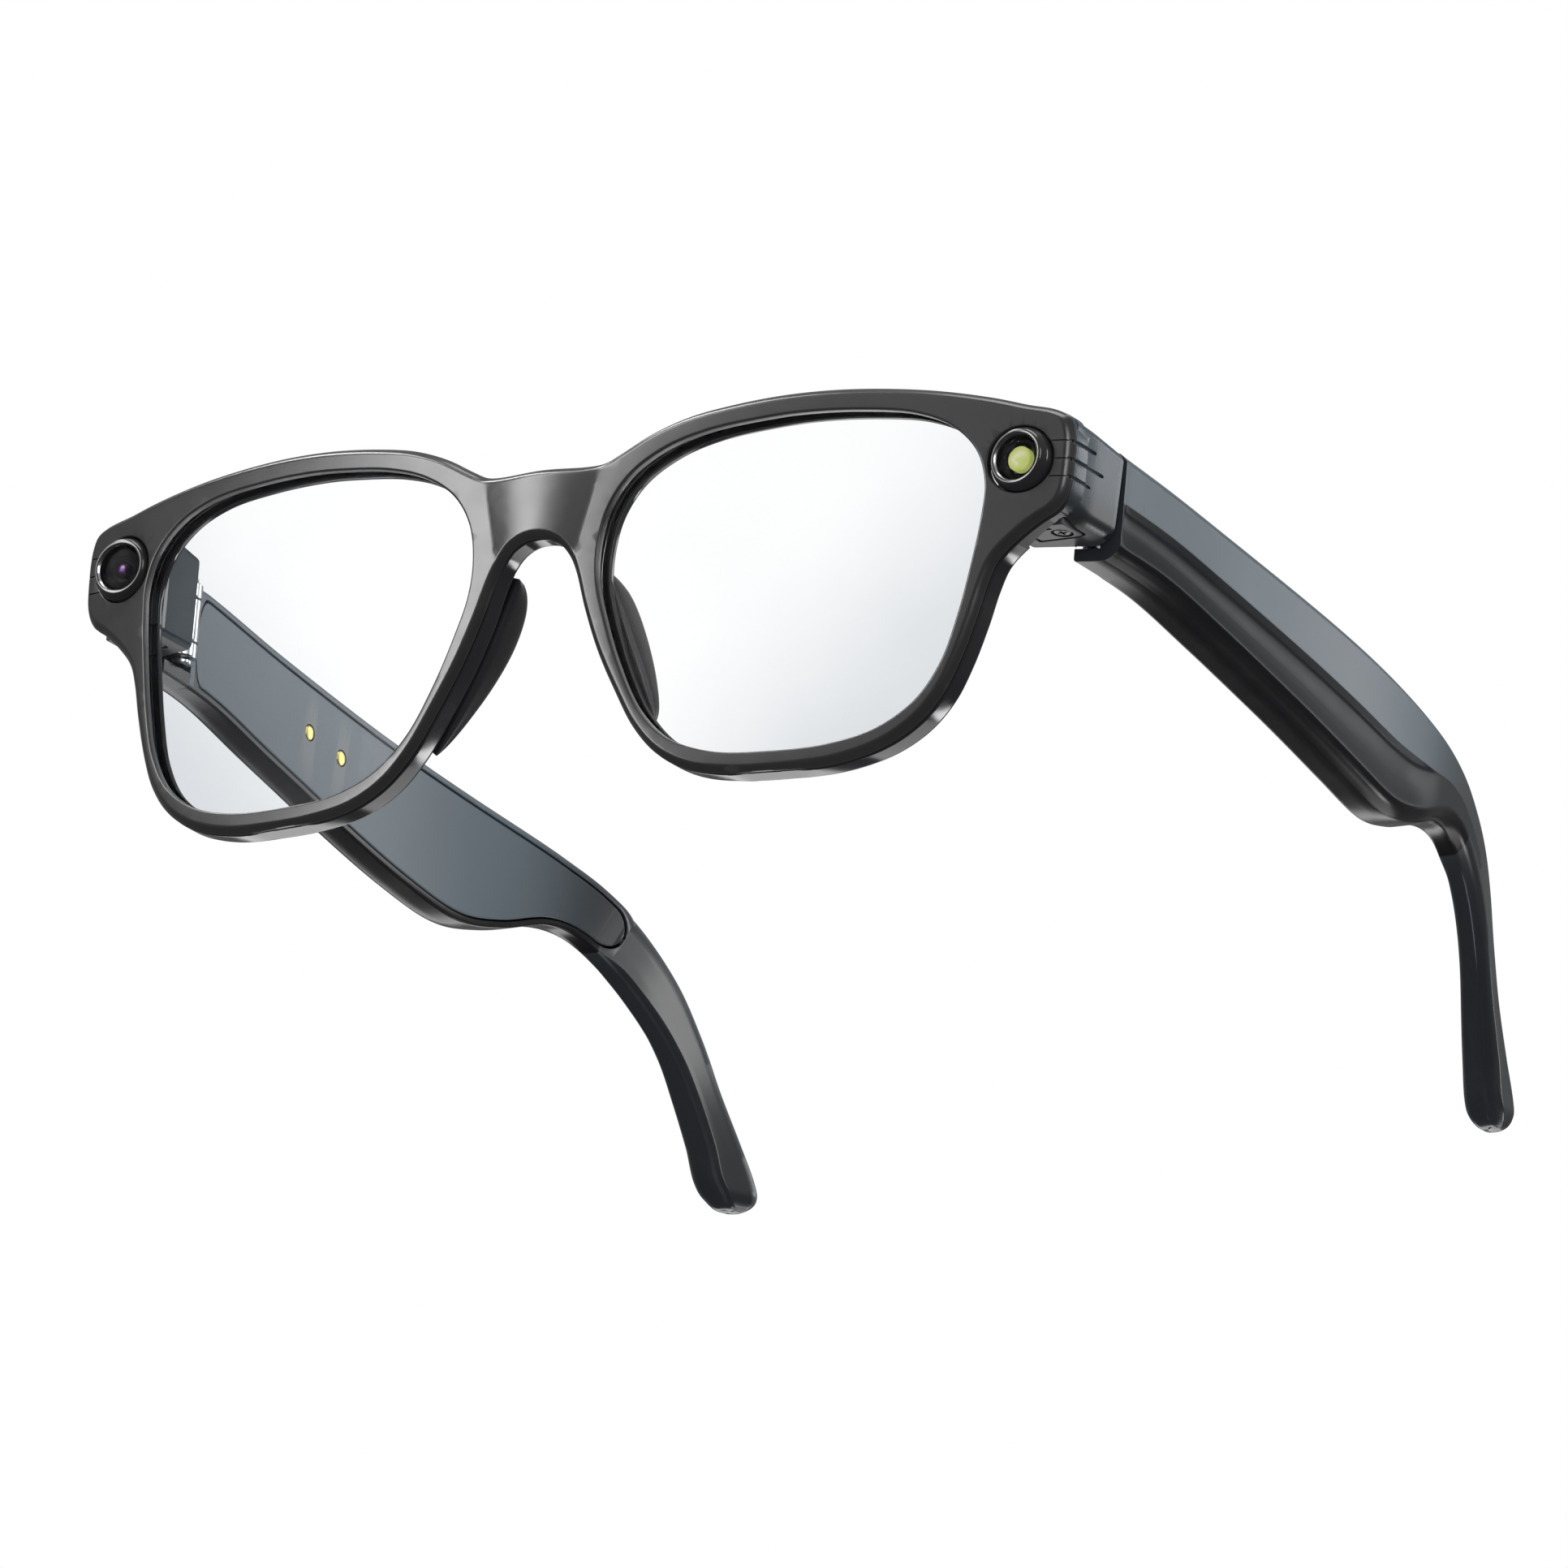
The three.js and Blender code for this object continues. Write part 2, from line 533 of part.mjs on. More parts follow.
function makeShell(isRight) {
  const body = templeBody(shellSection, 0, LAST, 2);
  const pocket = templeBody(slabSection(-HALF - 1.5, INNER_WALL, WALL, 0.55), 0.55, COVER_END + 0.06, 4);
  const tools = [pocket, box(40, 69.6, 10, 24.4, -20, 30)];
  for (let i = 0; i < 5; i++) {
    tools.push(box(68.0, 69.0, 84 + i * 1.6, 84.8 + i * 1.6, 4.6, 10));
  }
  if (isRight) {
    tools.push(box(BUTTON.x - 1.35, BUTTON.x + 1.35, BUTTON.y - 4.6, BUTTON.y + 4.6, 8, 20));
  }
  const infront = toSolid(box(0, 100, -60, 60, -60, 60)).subtract(toSolid(behindHousing(0.35)));
  return cut(cut(body, toGeometry(infront)), ...tools, tableTool());
}

const CONTACTS = [52.3, 59.6];
const CONTACT_RADIUS = 0.95;
function contactHole(y, radius, x0, x1) {
  const along = new THREE.CylinderGeometry(radius, radius, x1 - x0, 18).rotateZ(Math.PI / 2);
  return along.translate((x0 + x1) / 2, y, 3.7 - (y - CONTACTS[0]) * 0.14);
}

function makeCover(isRight) {
  const slab = templeBody(slabSection(-HALF, -HALF + COVER_THICKNESS, WALL + GAP, 0.7), 0.7, COVER_END, 3);
  return isRight ? cut(slab, ...CONTACTS.map((y) => contactHole(y, CONTACT_RADIUS + GAP, 60, 72))) : slab;
}

function makeTempleHinge() {
  const { x, y, radius, hole } = HINGE;
  const [z0, z1] = KNUCKLES.middle;
  const body = join(post(x, y, z0, z1, radius), box(x, 69.4, y + 0.5, y + 2.2, z0, z1),
    box(68.35, 69.4, y + 0.6, 33, z0, z1 - 0.6));
  return cut(body, post(x, y, 0, 20, hole, 20), contactHole(28, 0.7, 66, 71), contactHole(31, 0.7, 66, 71));
}

const BUTTON = { x: 69.6, y: 38.5, top: 12.6, length: 8.4, bottom: 10.3 };
function makeButton() {
  const { x, y, top, bottom, length } = BUTTON;
  const shape = new THREE.Shape();
  const [straight, radius] = [length / 2 - 1.05, 1.05];
  shape.absarc(0, straight, radius, 0, Math.PI);
  shape.absarc(0, -straight, radius, Math.PI, 2 * Math.PI);
  const pill = new THREE.ExtrudeGeometry(shape, { depth: top - bottom, bevelEnabled: false, curveSegments: 8 });
  return pill.translate(x, y, bottom);
}

function makeTemple(group, side, turnOver, isRight) {
  const add = (name, geometry, material) => piece(group, `${name}_${side}`, turnOver(geometry), material);
  add('temple_shell', makeShell(isRight), slate);
  add('inner_cover', makeCover(isRight), slate);
  add('temple_hinge', makeTempleHinge(), steel);
  add('main_board', inTemple(44, 16, 7, -0.2, 0.5, -0.4), board);
  add('battery', inTemple(67.5, 24, 9.4, -1.4, 0.35, -0.6), cell);
  add('speaker', inTemple(89, 12, 8, -1.4, 0.4, -0.4), blackMetal);
  add('microphone', inTemple(104, 4, 3, -1.0, 0.2, 0), gold);
  if (isRight) {
    add('capture_button', makeButton(), blackMetal);
    add('button_switch', box(BUTTON.x - 1, BUTTON.x + 1, BUTTON.y - 2, BUTTON.y + 2, 8.7, 9.6), steel);
    CONTACTS.forEach((y, i) => add(`charging_contact_${i + 1}`, contactHole(y, CONTACT_RADIUS, 67.35, 68.35), gold));
  }
}

makeTemple(templeLeft, 'left', (g) => g, false);
makeTemple(templeRight, 'right', mirror, true);

// ---- the whole, tipped onto its rims and tips and set over its own middle -----------------------------------
const glasses = new THREE.Group();
glasses.add(front, templeLeft, templeRight);
glasses.rotation.x = REST_TILT;
glasses.position.z = -(REST.z * Math.cos(REST_TILT) + REST.y * Math.sin(REST_TILT));
glasses.updateMatrixWorld(true);
const bounds = new THREE.Box3().setFromObject(glasses, true);
glasses.position.y = -(bounds.min.y + bounds.max.y) / 2;

export default glasses;
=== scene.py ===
"""Camera smart glasses: the visible pieces and their materials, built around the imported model.

Shapes are drawn as worn, in millimetres, +X to the wearer's left, +Y backward, then moved by WORN
into the model's frame. Left-hand pieces are drawn and right-hand ones mirror them.
"""

import json
import math

import bmesh
import bpy
import numpy as np
from mathutils import Matrix, Vector
from mathutils.geometry import delaunay_2d_cdt


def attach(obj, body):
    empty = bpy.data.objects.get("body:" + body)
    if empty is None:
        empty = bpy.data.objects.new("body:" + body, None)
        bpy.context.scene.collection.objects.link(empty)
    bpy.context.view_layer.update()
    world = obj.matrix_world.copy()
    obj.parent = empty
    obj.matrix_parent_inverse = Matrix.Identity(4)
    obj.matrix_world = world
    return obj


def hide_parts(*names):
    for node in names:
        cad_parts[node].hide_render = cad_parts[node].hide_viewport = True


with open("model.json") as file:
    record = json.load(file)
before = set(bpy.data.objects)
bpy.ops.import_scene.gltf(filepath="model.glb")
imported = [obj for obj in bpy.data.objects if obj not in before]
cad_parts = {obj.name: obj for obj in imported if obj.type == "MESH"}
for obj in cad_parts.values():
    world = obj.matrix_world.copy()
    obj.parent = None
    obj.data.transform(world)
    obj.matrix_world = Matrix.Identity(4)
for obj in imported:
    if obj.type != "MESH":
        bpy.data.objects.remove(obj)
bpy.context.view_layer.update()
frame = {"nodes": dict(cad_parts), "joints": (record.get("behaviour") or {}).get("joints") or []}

# ---- dimensions, as in the model but for the channel, which is 0.05 deeper --------
GAP = 0.3
FRONT_RADIUS = 340
BRIDGE_BUMP = 0.6
LENS_HOLD = 0.8
LENS_FRONT = 1.3
EYE_X, EYE_Z = 65.5, 10.1
GROOVES = ((12.3, 13.4), (10.0, 15.4), (7.75, 12.9))         # height and rear end of each groove
BRIDGE_HALF = 7.5                   # half width of the bump of the frame behind the bridge
HOUSING_INNER, HOUSING_OUTER, HOUSING_BOTTOM = 61.2, 72.0, 2.5
HOUSING_FRONT, HOUSING_REAR, HOUSING_SLANT = 9.2, 16.7, 0.266
SCREW_X, SCREW_Y = 68.0, 13.2
HINGE = Vector((66.5, 22.0, 8.4))
KNUCKLE_LOW, KNUCKLE_MIDDLE, KNUCKLE_HIGH = (3.6, 5.4), (5.7, 11.1), (11.4, 13.2)
TEMPLE_THICKNESS = 5.6
CHANNEL_DEPTH = 0.95
INNER_WALL = 0.9
WALL = 0.9
COVER_END = 8.75
BUTTON_X, BUTTON_Y, BUTTON_TOP, BUTTON_BOTTOM, BUTTON_HALF = 69.6, 38.5, 12.6, 10.3, 4.2
CONTACTS = (52.3, 59.6)
CONTACT_HEIGHT, CONTACT_FALL = 3.7, 0.14
SLOTS, FIRST_SLOT, SLOT_STEP = 5, 84.4, 1.6                  # over each loudspeaker

FRONT_HALF = [
    (0, 13.95), (6.2, 13.8), (8.6, 14.1), (11, 15.2), (15, 17.25), (20, 18.95), (26, 20.0), (33, 20.7),
    (40, 20.85), (47, 20.5), (54, 19.75), (61, 18.5), (65.5, 17.4), (69.2, 16.6), (71.0, 15.6),
    (71.8, 13.6), (72, 9.5), (71.6, 5.6), (70.4, 3.6), (68.3, 2.2), (65.5, -0.1), (63.4, -2.5),
    (62.3, -5.4), (61.2, -9.8), (59.6, -15), (57.7, -19.3), (54.8, -22.9), (50.5, -25.7), (44.5, -27.45),
    (37.5, -27.95), (30.5, -27.8), (24.5, -26.8), (19.7, -24.4), (16.0, -20.7), (12.8, -15.6),
    (9.8, -10.1), (7.4, -4.4), (5.8, 0.2), (4.7, 2.5), (3.4, 3.95), (1.8, 4.75), (0, 5.0)]
LENS_OPENING = [
    (36, 17.9), (30, 17.5), (23, 16.55), (17.5, 14.85), (12.9, 11.9), (10.2, 7.9), (9.2, 3.0), (9.5, -1.5),
    (11.0, -6.3), (13.5, -12.4), (16.9, -18.4), (21.3, -22.5), (27.5, -24.8), (35, -25.35), (43, -25.0),
    (49.6, -23.3), (54.4, -20.0), (57.3, -15.4), (59, -9.5), (60.2, -3.0), (61.0, 3.0), (61.1, 7.4),
    (59.7, 11.5), (56.3, 14.8), (51.3, 16.8), (44, 17.7)]
TEMPLE_TOP = [
    (16, 14.9), (30, 13.45), (44, 11.6), (60, 9.65), (76, 7.75), (86, 6.5), (96, 5.1), (105, 3.55),
    (112.5, 1.6), (119, -1.8), (124.8, -7.2), (129.2, -13.6), (132.7, -19.8), (136.4, -25.2),
    (139.6, -29.6), (140.5, -32.2), (139.2, -33.8)]
TEMPLE_BOTTOM = [
    (16, 0.9), (30, 0.1), (44, -2.55), (60, -5.75), (76, -8.9), (86.5, -10.3), (94.5, -8.9), (102.5, -6.1),
    (108.8, -5.9), (115.2, -8.5), (120.9, -12.6), (125.2, -17.2), (128.3, -22.2), (130.9, -27.2),
    (132.6, -31.0), (134.8, -33.2), (137, -34.0)]
LAST = len(TEMPLE_TOP) - 1
TEMPLE_MIDDLE = [(0, 68.9), (20, 69.3), (48, 70.1), (75, 69.8), (92, 68.2), (106, 65.7), (119, 62.1),
                 (131, 58.0), (142, 55.7), (150, 54.6)]
NOSE_EDGE = [(4.9, 2.6), (6.0, -1.0), (8.2, -6.9), (11.2, -13.1), (14.4, -18.6), (16.9, -21.6)]

fold = next(j for j in frame["joints"] if j["name"] == "left_temple_fold")
TILT = Matrix.Rotation(math.atan2(-fold["axis"][1], fold["axis"][2]), 4, "X")
WORN = Matrix.Translation(Vector(fold["pos_m"]) - TILT @ HINGE * 0.001) @ TILT @ Matrix.Scale(0.001, 4)


# ---- curves --------
def hermite(s, p1, p2, m1, m2):
    """The cubic from p1 to p2 with end slopes m1 and m2, at s from 0 to 1."""
    return (p1 * (2 * s**3 - 3 * s**2 + 1) + p2 * (3 * s**2 - 2 * s**3)
            + m1 * (s**3 - 2 * s**2 + s) + m2 * (s**3 - s**2))


def centripetal(points, count):
    """Evenly spaced points on a closed centripetal Catmull-Rom curve."""
    knots = np.array(points, float)
    fine = []
    s = np.linspace(0, 1, 40, endpoint=False)[:, None]
    for i in range(len(knots)):
        p0, p1, p2, p3 = (knots[(i + k) % len(knots)] for k in (-1, 0, 1, 2))
        d0, d1, d2 = (np.linalg.norm(b - a) ** 0.5 for a, b in ((p0, p1), (p1, p2), (p2, p3)))
        m1 = ((p1 - p0) / d0 - (p2 - p0) / (d0 + d1) + (p2 - p1) / d1) * d1
        m2 = ((p2 - p1) / d1 - (p3 - p1) / (d1 + d2) + (p3 - p2) / d2) * d1
        fine.append(hermite(s, p1, p2, m1, m2))
    fine = np.vstack(fine + [knots[:1]])
    along = np.concatenate([[0], np.cumsum(np.linalg.norm(np.diff(fine, axis=0), axis=1))])
    places = np.linspace(0, along[-1], count, endpoint=False)
    return np.stack([np.interp(places, along, fine[:, k]) for k in (0, 1)], 1)


def spline(points, t):
    """Place and direction at t (0 to 1) on an open uniform Catmull-Rom curve."""
    knots = np.array(points, float)
    at = min(max(t, 0), 1) * (len(knots) - 1)
    i = min(int(at), len(knots) - 2)
    s = at - i
    p0, p1, p2, p3 = knots[max(i - 1, 0)], knots[i], knots[i + 1], knots[min(i + 2, len(knots) - 1)]
    m1, m2 = (p2 - p0) / 2, (p3 - p1) / 2
    place = hermite(s, p1, p2, m1, m2)
    along = (p1 * (6 * s**2 - 6 * s) + p2 * (6 * s - 6 * s**2)
             + m1 * (3 * s**2 - 4 * s + 1) + m2 * (3 * s**2 - 2 * s))
    return place, along / np.linalg.norm(along)


def grow(loop, distance):
    """A closed loop moved outward by a distance."""
    before, after = np.roll(loop, 1, 0), np.roll(loop, -1, 0)
    turn = np.sign(np.sum(before[:, 0] * loop[:, 1] - loop[:, 0] * before[:, 1]))
    along = (after - before) / np.linalg.norm(after - before, axis=1)[:, None]
    return loop + np.stack([along[:, 1], -along[:, 0]], 1) * distance * turn


def soften(points, radius, closed=False, steps=4):
    """A polyline with its corners rounded; radius is one number, or one for each point."""
    corners = np.array(points, float)
    radii = np.broadcast_to(radius, len(corners))
    out = []
    for i, corner in enumerate(corners):
        if not closed and i in (0, len(corners) - 1):
            out.append(corner)
            continue
        ends = []
        for other in (corners[i - 1], corners[(i + 1) % len(corners)]):
            reach = other - corner
            length = max(np.linalg.norm(reach), 1e-6)
            ends.append(corner + reach / length * min(radii[i], 0.46 * length))
        for t in np.linspace(0, 1, steps + 1):
            out.append((1 - t)**2 * ends[0] + 2 * t * (1 - t) * corner + t * t * ends[1])
    return np.array(out)


def arc(x, z, radius, start, end, steps):
    angles = np.radians(np.linspace(start, end, steps))
    return [(x + radius * math.cos(a), z + radius * math.sin(a)) for a in angles]


def inside(points, loop):
    """Which of the points lie inside a closed loop."""
    x, z = points[:, 0][:, None], points[:, 1][:, None]
    (x0, z0), (x1, z1) = loop.T, np.roll(loop, -1, 0).T
    crossing = (z0 > z) != (z1 > z)
    with np.errstate(divide="ignore", invalid="ignore"):
        left = x < (x1 - x0) * (z - z0) / (z1 - z0) + x0
    return np.sum(crossing & left, 1) % 2 == 1


def ease(t):
    t = min(max(t, 0), 1)
    return t * t * (3 - 2 * t)


# ---- meshes --------
class Shape:
    """Points in worn millimetres and faces, gathered ring by ring."""

    def __init__(self):
        self.points = []
        self.faces = []

    def ring(self, points):
        start = len(self.points)
        self.points.extend(tuple(map(float, p)) for p in points)
        return list(range(start, len(self.points)))

    def bridge(self, a, b):
        for i in range(len(a)):
            k = (i + 1) % len(a)
            self.faces.append((a[i], a[k], b[k], b[i]))

    def loft(self, rings, closed=False):
        ids = [self.ring(r) for r in rings]
        for a, b in zip(ids, ids[1:] + ids[:1] if closed else ids[1:]):
            self.bridge(a, b)
        if not closed:
            self.faces += [tuple(ids[0]), tuple(ids[-1])]
        return self

    def sheet(self, loops, extra, depth, spacing):
        """Fills the area between an outer loop and its holes with even triangles."""
        flat = [np.array([(self.points[i][0], self.points[i][2]) for i in loop]) for loop in loops]
        low, high = flat[0].min(0), flat[0].max(0)
        rows = np.arange(low[1], high[1], spacing * 0.87)
        grid = np.array([(x + (k % 2) * spacing / 2, z) for k, z in enumerate(rows)
                         for x in np.arange(low[0], high[0], spacing)] + list(extra))
        keep = inside(grid, flat[0])
        for hole in flat[1:]:
            keep &= ~inside(grid, hole)
        grid = grid[keep]
        edge = np.vstack(flat)
        near = np.array([np.min(np.sum((edge - p)**2, 1)) for p in grid])
        grid = grid[near > (spacing * 0.45)**2]
        ids = [i for loop in loops for i in loop]
        ids += self.ring((x, depth, z) for x, z in grid)
        wires, start = [], 0
        for loop in loops:
            wires += [(start + i, start + (i + 1) % len(loop)) for i in range(len(loop))]
            start += len(loop)
        everything = np.vstack([edge, grid])
        _, _, triangles, sources, _, _ = delaunay_2d_cdt([Vector(p) for p in everything], wires, [], 0, 1e-7)
        triangles = np.array([[sources[i][0] for i in t] for t in triangles])
        middles = everything[triangles].mean(1)
        keep = inside(middles, flat[0])
        for hole in flat[1:]:
            keep &= ~inside(middles, hole)
        self.faces += [tuple(ids[i] for i in t) for t in triangles[keep]]

    def move(self, place):
        self.points = [place(*p) for p in self.points]
        return self

    def mirrored(self):
        twin = Shape()
        twin.points = [(-x, y, z) for x, y, z in self.points]
        twin.faces = [f[::-1] for f in self.faces]
        return twin

    def add(self, other):
        start = len(self.points)
        self.points += other.points
        self.faces += [tuple(i + start for i in f) for f in other.faces]
        return self

    def object(self, name):
        mesh = bpy.data.meshes.new(name)
        mesh.from_pydata(self.points, [], self.faces)
        work = bmesh.new()
        work.from_mesh(mesh)
        bmesh.ops.remove_doubles(work, verts=work.verts, dist=1e-4)
        bmesh.ops.recalc_face_normals(work, faces=work.faces)
        work.to_mesh(mesh)
        work.free()
        obj = bpy.data.objects.new(name, mesh)
        bpy.context.scene.collection.objects.link(obj)
        return obj


def both(shape):
    return Shape().add(shape).add(shape.mirrored())


def combine(obj, shape, operation):
    """Joins a shape to an object, or cuts it out, for good."""
    tool = shape.object("tool")
    step = obj.modifiers.new("step", "BOOLEAN")
    step.operation = operation
    step.solver = "EXACT"
    step.object = tool
    bpy.context.view_layer.update()
    result = bpy.data.meshes.new_from_object(obj.evaluated_get(bpy.context.evaluated_depsgraph_get()))
    obj.modifiers.clear()
    obj.data = result
    bpy.data.objects.remove(tool)
    return obj


def cut(obj, shape):
    return combine(obj, shape, "DIFFERENCE")


def join(obj, shape):
    return combine(obj, shape, "UNION")


def block(x, y, z, radius=0.0, chamfer=0.0):
    """A box between three pairs of limits, with rounded upright edges and chamfered rims."""
    outline = np.array([(x[0], y[0]), (x[1], y[0]), (x[1], y[1]), (x[0], y[1])], float)
    return extruded(soften(outline, radius, True) if radius else outline, z, chamfer)


def extruded(outline, z, chamfer):
    """An x, y outline drawn up between two heights, with chamfered rims."""
    levels = [(chamfer, z[0]), (0, z[0] + chamfer), (0, z[1] - chamfer), (chamfer, z[1])]
    if chamfer == 0:
        levels = levels[1:3]
    return Shape().loft([[(x, y, h) for x, y in grow(outline, -d)] for d, h in levels])


def turned(profile, x, z, sides=96, axis="Y"):
    """A solid of revolution about a line along Y (or up, with axis Z) from (radius, place) pairs."""
    shape = Shape()
    rings = []
    for radius, place in profile:
        around = arc(0, 0, max(radius, 1e-3), 0, 360 - 360 / sides, sides)
        if axis == "Y":
            rings.append(shape.ring((x + a, place, z + b) for a, b in around))
        else:
            rings.append(shape.ring((x + a, z + b, place) for a, b in around))
    for a, b in zip(rings, rings[1:]):
        shape.bridge(a, b)
    if profile[0] == profile[-1]:
        return shape
    shape.faces += [tuple(rings[0]), tuple(rings[-1])]
    return shape


def closed_profile(points, radius):
    ring = [tuple(p) for p in soften(points, radius, True)]
    return ring + ring[:1]


def show(obj, node, body, materials, sharp=32, pick=None):
    """Finishes a piece: into the model's frame, shaded, with its materials, in place of its CAD node."""
    mesh = obj.data
    for material in materials:
        mesh.materials.append(material)
    if pick:
        for face in mesh.polygons:
            face.material_index = pick(face.center)
    mesh.transform(WORN)
    for vertex in mesh.vertices:                # flat where it stands, like the model
        vertex.co.z = max(0.0, vertex.co.z)
    mesh.shade_smooth()
    mesh.set_sharp_from_angle(angle=math.radians(sharp))
    weighted = obj.modifiers.new("weighted", "WEIGHTED_NORMAL")
    weighted.keep_sharp = True
    obj.name = node + ".look"
    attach(obj, body)
    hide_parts(node)
    return obj


# ---- materials --------
class Nodes:
    """A material with its Principled shader, and short calls to add and link nodes."""

    def __init__(self, name, **sockets):
        self.material = bpy.data.materials.new(name)
        self.material.use_nodes = True
        self.tree = self.material.node_tree
        self.shader = self.tree.nodes["Principled BSDF"]
        for key, value in sockets.items():
            self.shader.inputs[key.replace("_", " ")].default_value = value
        self.place = self.add("ShaderNodeTexCoord").outputs["Object"]

    def add(self, kind, **settings):
        node = self.tree.nodes.new(kind)
        for key, value in settings.items():
            setattr(node, key, value)
        return node

    def link(self, source, target):
        self.tree.links.new(source, target)

    def noise(self, scale, detail=3.0, roughness=0.55):
        node = self.add("ShaderNodeTexNoise")
        node.inputs["Scale"].default_value = scale
        node.inputs["Detail"].default_value = detail
        node.inputs["Roughness"].default_value = roughness
        self.link(self.place, node.inputs["Vector"])
        return node.outputs["Fac"]

    def remap(self, value, low, high, new_low, new_high):
        node = self.add("ShaderNodeMapRange")
        node.interpolation_type = "SMOOTHSTEP"
        for key, number in zip(("From Min", "From Max", "To Min", "To Max"), (low, high, new_low, new_high)):
            node.inputs[key].default_value = number
        self.link(value, node.inputs["Value"])
        return node.outputs["Result"]

    def blend(self, factor, first, second):
        node = self.add("ShaderNodeMix", data_type="RGBA")
        self.link(factor, node.inputs["Factor"])
        for socket, colour in ((node.inputs[6], first), (node.inputs[7], second)):
            if isinstance(colour, tuple):
                socket.default_value = (*colour, 1)
            else:
                self.link(colour, socket)
        return node.outputs[2]

    def maths(self, operation, a, b):
        node = self.add("ShaderNodeMath", operation=operation)
        for socket, value in zip(node.inputs, (a, b)):
            if isinstance(value, (int, float)):
                socket.default_value = value
            else:
                self.link(value, socket)
        return node.outputs[0]

    def axis(self, letter):
        node = self.add("ShaderNodeSeparateXYZ")
        self.link(self.place, node.inputs[0])
        return node.outputs[letter]

    def colour(self, output):
        self.link(output, self.shader.inputs["Base Color"])
        return self

    def rough(self, output):
        self.link(output, self.shader.inputs["Roughness"])
        return self

    def bump(self, height, strength, distance):
        node = self.add("ShaderNodeBump")
        node.inputs["Strength"].default_value = strength
        node.inputs["Distance"].default_value = distance
        self.link(height, node.inputs["Height"])
        self.link(node.outputs[0], self.shader.inputs["Normal"])
        return self

    def edges(self, base, worn):
        """A little lighter along convex edges, where handling polishes a moulding."""
        point = self.add("ShaderNodeNewGeometry").outputs["Pointiness"]
        return self.blend(self.remap(point, 0.51, 0.56, 0, 1), base, worn)


def moulding(name, dark, light, roughness, grain=2600, bump=0.12, **sockets):
    """Moulded plastic: mottled colour, uneven satin and a fine grain."""
    n = Nodes(name, **sockets)
    mottle = n.noise(60, 4)
    base = n.blend(n.remap(mottle, 0.2, 0.8, 0, 1), dark, light)
    worn = tuple(c * 1.35 for c in light)
    n.colour(n.edges(base, worn))
    n.rough(n.remap(n.noise(240, 3), 0.3, 0.7, roughness - 0.012, roughness + 0.012))
    n.bump(n.noise(grain, 2), bump, 0.00002)
    return n.material


def temple_plastic():
    """Blue-grey satin that turns to charcoal towards the ear and the underside."""
    n = Nodes("temple_slate", Specular_IOR_Level=0.5)
    mottle = n.remap(n.noise(60, 4), 0.2, 0.8, 0, 1)
    slate = n.blend(mottle, (0.056, 0.081, 0.100), (0.064, 0.091, 0.111))
    coal = n.blend(mottle, (0.011, 0.013, 0.015), (0.014, 0.016, 0.019))
    to_ear = n.remap(n.axis("Y"), 0.020, 0.046, 0, 1)
    n.colour(n.edges(n.blend(to_ear, slate, coal), (0.10, 0.115, 0.13)))
    n.rough(n.remap(to_ear, 0, 1, 0.33, 0.24))
    n.bump(n.noise(2400, 2), 0.05, 0.00002)
    return n.material


def housing_plastic_painted_shade():
    """Blue-grey satin outside the housing, with painted shade turning it black towards its underside."""
    n = Nodes("housing_slate_painted_shade")
    low, high = (WORN @ Vector((70, 13, z)) for z in (3.0, 10.5))
    slate = n.blend(n.remap(n.noise(60, 4), 0.2, 0.8, 0, 1), (0.046, 0.062, 0.078), (0.054, 0.071, 0.088))
    # Painted shade: black at the bottom of the housing, fading to slate higher up.
    n.colour(n.blend(n.remap(n.axis("Z"), low.z, high.z, 0, 1), (0.007, 0.008, 0.009), slate))
    n.rough(n.remap(n.noise(240, 3), 0.3, 0.7, 0.26, 0.29))
    n.bump(n.noise(2400, 2), 0.04, 0.00002)
    return n.material


def metal(name, colour, roughness, streak=(300, 6000, 300)):
    """Metal with fine brushed streaks."""
    n = Nodes(name, Metallic=1.0)
    mapping = n.add("ShaderNodeMapping")
    mapping.inputs["Scale"].default_value = streak
    n.link(n.place, mapping.inputs["Vector"])
    grain = n.add("ShaderNodeTexNoise")
    grain.inputs["Scale"].default_value = 1.0
    n.link(mapping.outputs[0], grain.inputs["Vector"])
    lines = grain.outputs["Fac"]
    n.colour(n.blend(n.remap(lines, 0.3, 0.7, 0, 1), tuple(c * 0.85 for c in colour), colour))
    n.rough(n.remap(lines, 0.3, 0.7, roughness - 0.05, roughness + 0.08))
    n.bump(lines, 0.1, 0.00001)
    return n.material


def lens_glass():
    """Clear glass with a painted reflection: grey painted towards the lower outer corner of each lens."""
    n = Nodes("lens_clear", Roughness=0.0, IOR=1.04, Transmission_Weight=1.0,
              Coat_Weight=0.07, Coat_Roughness=0.25)
    outward = n.maths("MULTIPLY", n.maths("ABSOLUTE", n.axis("X"), 0.0), 0.70)
    corner = n.maths("SUBTRACT", outward, n.maths("MULTIPLY", n.axis("Z"), 0.65))
    # Painted reflection: the glass turns grey towards the lower outer corner, with a little random tone.
    shade = n.remap(corner, 0.002, 0.036, 0.0, 1.0)
    painted_reflection = n.maths("ADD", shade, n.remap(n.noise(60, 2), 0.3, 0.7, -0.04, 0.04))
    n.colour(n.blend(painted_reflection, (0.985, 0.99, 0.995), (0.70, 0.73, 0.76)))
    return n.material


def window_glass():
    n = Nodes("window_clear", Roughness=0.02, IOR=1.5, Alpha=0.3, Specular_IOR_Level=0.03)
    n.colour(n.blend(n.remap(n.noise(400, 2), 0.3, 0.7, 0, 1), (0.004, 0.004, 0.005), (0.006, 0.006, 0.007)))
    return n.material


